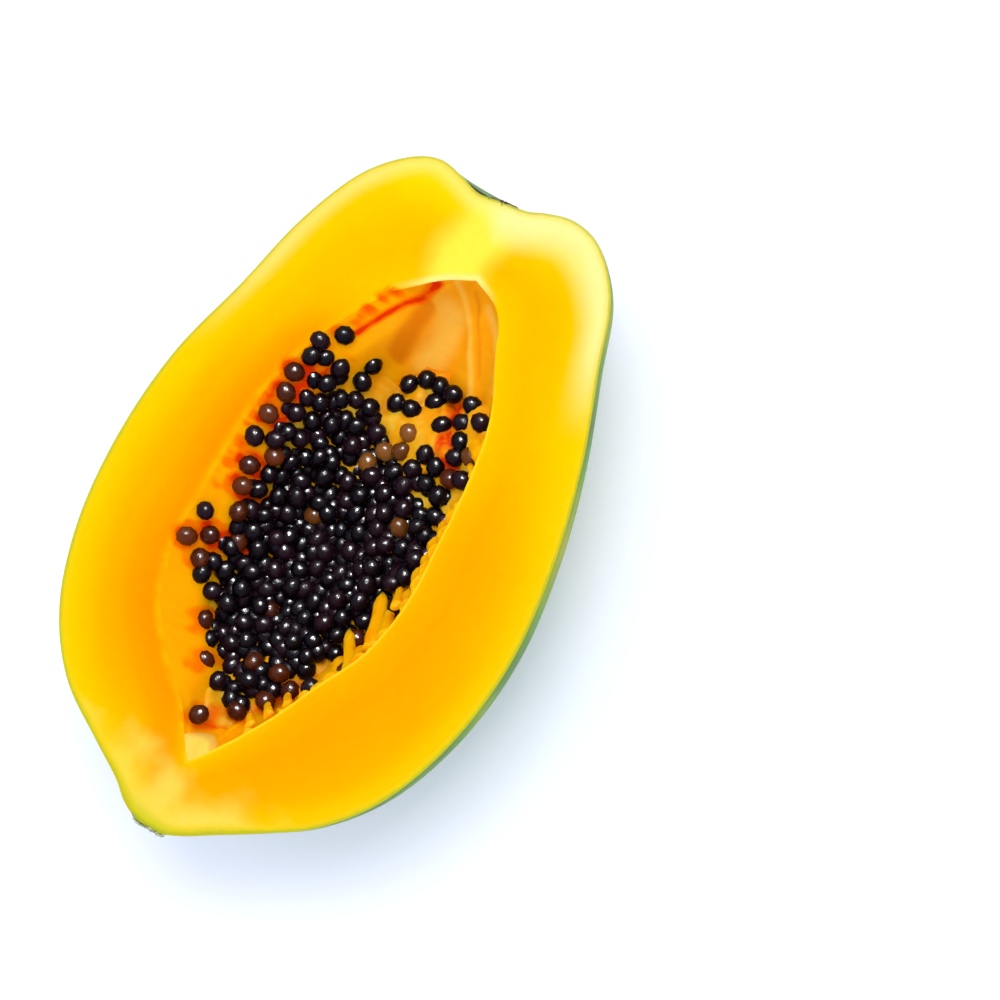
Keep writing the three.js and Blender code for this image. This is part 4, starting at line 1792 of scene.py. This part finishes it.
@dataclass(frozen=True)
class Finger:
    """A finger, lobe or thread of pulp.

    Attributes:
        root: Place of its root, seen from above.
        tip: Place of its tip.
        root_radius: Its radius at the root.
        tip_radius: Its radius near the tip.
    """

    root: Place
    tip: Place
    root_radius: float
    tip_radius: float


@dataclass
class PulpStrands:
    """Fingers and lobes of pulp between the right wall and the seeds, and threads on the left.

    Attributes:
        pile: The seeds that they reach.
        fingers: Those that stand out.
        small_span: First and last place along the fruit of the small ones along the right rim.
        small_count: How many of those there are.
        thread_span: First and last place along the fruit of the threads on the left wall.
        thread_count: How many threads there are.
        root_height: Height of the roots on the right.
        highest: No strand reaches higher.
        flatness: Height of a strand against its width.
        sides: Faces round a strand.
        rings: Faces along it.
    """

    pile: SeedPile
    fingers: tuple[Finger, ...] = (
        Finger((-26.6, -26.0), (-13.4, -16.4), 2.7, 1.7), Finger((-22.4, -27.2), (-16.4, -20.6), 2.2, 1.7),
        Finger((-14.5, -26.0), (-10.1, -20.3), 1.4, 1.0), Finger((-13.2, -28.8), (-10.4, -23.8), 2.0, 1.8),
        Finger((-7.2, -29.8), (-4.2, -23.6), 2.8, 2.6), Finger((-34.0, -23.8), (-25.7, -13.2), 1.9, 1.4),
        Finger((-38.8, -21.4), (-32.5, -15.9), 2.2, 1.7), Finger((-31.0, -25.0), (-28.4, -20.0), 2.4, 2.1),
        Finger((-41.8, -19.4), (-38.2, -16.2), 1.4, 1.1), Finger((-44.9, -17.0), (-43.9, -11.6), 1.6, 1.2),
        Finger((1.2, -30.0), (4.6, -24.0), 2.9, 2.6), Finger((5.8, -30.2), (9.4, -24.0), 2.8, 2.3),
        Finger((10.8, -29.8), (13.0, -24.4), 2.6, 2.1), Finger((28.2, -27.2), (30.6, -20.3), 2.8, 2.2),
        Finger((-48.8, -14.0), (-47.3, -8.5), 1.5, 1.1), Finger((-53.2, -11.0), (-51.8, -5.4), 1.5, 1.0),
        Finger((-57.6, -8.2), (-56.2, -3.5), 1.4, 1.0), Finger((-3.5, -29.8), (0.6, -24.4), 2.7, 2.3),
    )
    small_span: Place = (-60.0, 34.0)
    small_count: int = 12
    thread_span: Place = (-58.0, 22.0)
    thread_count: int = 20
    root_height: float = -1.0
    highest: float = -0.3
    flatness: float = 0.75
    sides: int = 10
    rings: int = 10

    def build(self) -> bpy.types.Object:
        """Builds the strands.

        Returns:
            The finished piece.
        """
        bm = bmesh.new()
        for finger in self.fingers:
            self._strand(bm, finger)
        stream = DrawStream(777)
        for side, span, count in (
            (-1.0, self.small_span, self.small_count), (1.0, self.thread_span, self.thread_count)
        ):
            for i in range(count):
                x = lerp(*span, (i + 0.5 + 0.45 * stream.spread()) / count)
                width = CAVITY.value(x, 1 if side > 0 else 2)
                start = -0.6 if side < 0 else 4.0 + 2.0 * stream.draw()
                reach = min(3.0 + 2.5 * stream.draw(), 0.4 * width)
                root = (x, CAVITY.middle(x) + side * (width - start))
                tip = (x + 2.0 * stream.spread() + 1.0, root[1] - side * reach)
                radius = 0.9 + 0.6 * stream.draw() if side < 0 else 0.2 + 0.12 * stream.draw()
                self._strand(bm, Finger(root, tip, radius, 0.7 * radius))
        bmesh.ops.recalc_face_normals(bm, faces=bm.faces)
        into_frame(bm)
        # The strings' third colour is painted shade in the hollows of their lumps.
        finish = WetPulp("pulp_strings", (1.0, 0.4, 0.0), (1.0, 0.49, 0.004), (1.0, 0.3, 0.0))
        return finished_piece("pulp_strands", bm, [finish.material()])

    def _strand(self, bm: bmesh.types.BMesh, finger: Finger) -> None:
        """Adds a strand that runs down the wall into the pile.

        Args:
            bm: The mesh that it joins.
            finger: Its places and sizes.
        """
        ends = []
        for (x, y), radius in ((finger.root, finger.root_radius), (finger.tip, finger.tip_radius)):
            low = CAVITY.height(x, y) + 0.3 * radius
            right = y < CAVITY.middle(x)
            top = self.root_height if right and not ends else self.pile.height(x, y) - 0.2
            height = max(top, low) if right else low
            ends.append(Vector((x, y, min(height, self.highest - self.flatness * radius))))
        way = ends[1] - ends[0]
        flat = Matrix.Diagonal((1.1, self.flatness, 1.0, 1.0))
        turn = way.to_track_quat("Z", "Y").to_matrix().to_4x4() @ flat
        circles = []
        for ring in range(self.rings):
            share = ring / (self.rings - 1)
            place = ends[0].lerp(ends[1], share)
            floor = CAVITY.height(place.x, place.y) + 0.1
            place.z = min(max(place.z, floor), self.highest - self.flatness * finger.root_radius)
            rounded = math.sqrt(max(0.02, 1.0 - smooth(share, 0.7, 1.02) ** 2))
            lump = 1.0 + 0.16 * wobble(place.x, place.y, 0.0, 1.6, 9)
            size = lerp(finger.root_radius, finger.tip_radius, smooth(share, 0.0, 0.6)) * rounded * lump
            verts = bmesh.ops.create_circle(
                bm, cap_ends=ring in (0, self.rings - 1), segments=self.sides, radius=size,
                matrix=Matrix.Translation(place) @ turn,
            )["verts"]
            own = set(verts)
            circles.append([e for e in {e for v in verts for e in v.link_edges} if own.issuperset(e.verts)])
        for first, second in zip(circles, circles[1:]):
            bmesh.ops.bridge_loops(bm, edges=first + second)


@dataclass
class Studio:
    """Camera, lights and floor.

    Attributes:
        camera_place: Place of the camera, on the cut face's axes.
        camera_aim: The point that it looks at.
        camera_up: The direction that is up in the picture.
        lens: Focal length on a 36 mm wide sensor.
        sky: Colour and strength of the light from all round.
        key_place: Place of the key light in metres from the fruit's middle.
        key_size: Its width.
        key_power: Its power.
        glint_place: Place of the small light that only wet surfaces mirror.
        glint_size: Its width.
        glint_power: Its power.
    """

    camera_place: tuple[float, float, float] = (0.0, -190.79, 554.1)
    camera_aim: tuple[float, float, float] = (20.51, -36.49, 0.0)
    camera_up: tuple[float, float, float] = (0.8746, 0.4577, 0.1598)
    lens: float = 85.0
    sky: tuple[float, float, float] = (0.96, 1.01, 1.28)
    key_place: tuple[float, float, float] = (0.34, -0.1, 1.25)
    key_size: float = 0.5
    key_power: float = 5.0
    glint_place: tuple[float, float, float] = (0.68, -0.03, 1.22)
    glint_size: float = 0.2
    glint_power: float = 200.0

    def build(self) -> None:
        """Builds all of it."""
        self._camera()
        self._key()
        self._sky()
        self._floor()
        bpy.context.scene.view_settings.view_transform = "Standard"
        log.info("studio: camera, key light, sky and floor")

    def _camera(self) -> None:
        """Sets the camera where the photograph was taken from."""
        data = bpy.data.cameras.new("camera")
        data.lens = self.lens
        data.sensor_width = 36.0
        data.clip_start = 0.01
        place = (Vector(self.camera_place) + CUT_ORIGIN) * MM
        aim = (Vector(self.camera_aim) + CUT_ORIGIN) * MM
        back = (place - aim).normalized()
        right = Vector(self.camera_up).cross(back).normalized()
        up = back.cross(right)
        camera = bpy.data.objects.new("camera", data)
        turn = Matrix((right, up, back)).transposed().to_4x4()
        camera.matrix_world = Matrix.Translation(place) @ turn
        bpy.context.collection.objects.link(camera)
        bpy.context.scene.camera = camera

    def _key(self) -> None:
        """Hangs the key light, which shines from the picture's upper right, and the glint light."""
        for name, corner, size, power, mirrored_only in (
            ("key_light", self.key_place, self.key_size, self.key_power, False),
            ("glint_light", self.glint_place, self.glint_size, self.glint_power, True),
        ):
            data = bpy.data.lights.new(name, "AREA")
            data.size = size
            data.energy = power
            light = bpy.data.objects.new(name, data)
            light.visible_diffuse = not mirrored_only
            place = Vector(corner)
            turn = place.to_track_quat("Z", "Y").to_matrix().to_4x4()
            light.matrix_world = Matrix.Translation(place) @ turn
            bpy.context.collection.objects.link(light)

    def _sky(self) -> None:
        """Lights the scene softly from all round."""
        world = bpy.data.worlds.new("sky")
        world.use_nodes = True
        world.node_tree.nodes["Background"].inputs["Color"].default_value = (*self.sky, 1.0)
        bpy.context.scene.world = world

    def _floor(self) -> None:
        """Lays the white floor under the fruit."""
        bm = bmesh.new()
        bmesh.ops.create_grid(bm, x_segments=1, y_segments=1, size=4.0)
        mesh = bpy.data.meshes.new("floor")
        bm.to_mesh(mesh)
        bm.free()
        mesh.materials.append(StudioWhite().material())
        floor = bpy.data.objects.new("floor", mesh)
        bpy.context.collection.objects.link(floor)
        floor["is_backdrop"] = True


def write_sizes() -> None:
    """Measures the CAD model's box and the dressed model's box; nothing is written."""
    boxes = {"cad": CAD_BOUNDS, "visual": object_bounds()}
    plain = {name: [[float(v) for v in corner] for corner in box] for name, box in boxes.items()}


def main() -> None:
    """Builds the half papaya and the studio."""
    Studio().build()
    FruitHalf().build()
    EndCrust(
        "stem_scar", 1.0, 0.965, (0.0, math.pi), 0.6,
        DryBark("stem_bark", (0.085, 0.045, 0.018), (0.02, 0.008, 0.004), (0.24, 0.17, 0.08)),
    ).build()
    EndCrust(
        "blossom_remains", 0.0, 0.08, (0.0, math.pi), 1.0,
        DryBark("dry_blossom", (0.5, 0.52, 0.28), (0.16, 0.19, 0.05), (0.72, 0.74, 0.58)),
    ).build()
    pile = SeedPile()
    pile.build()
    PulpStrands(pile).build()
    write_sizes()


if __name__ == "__main__":
    main()
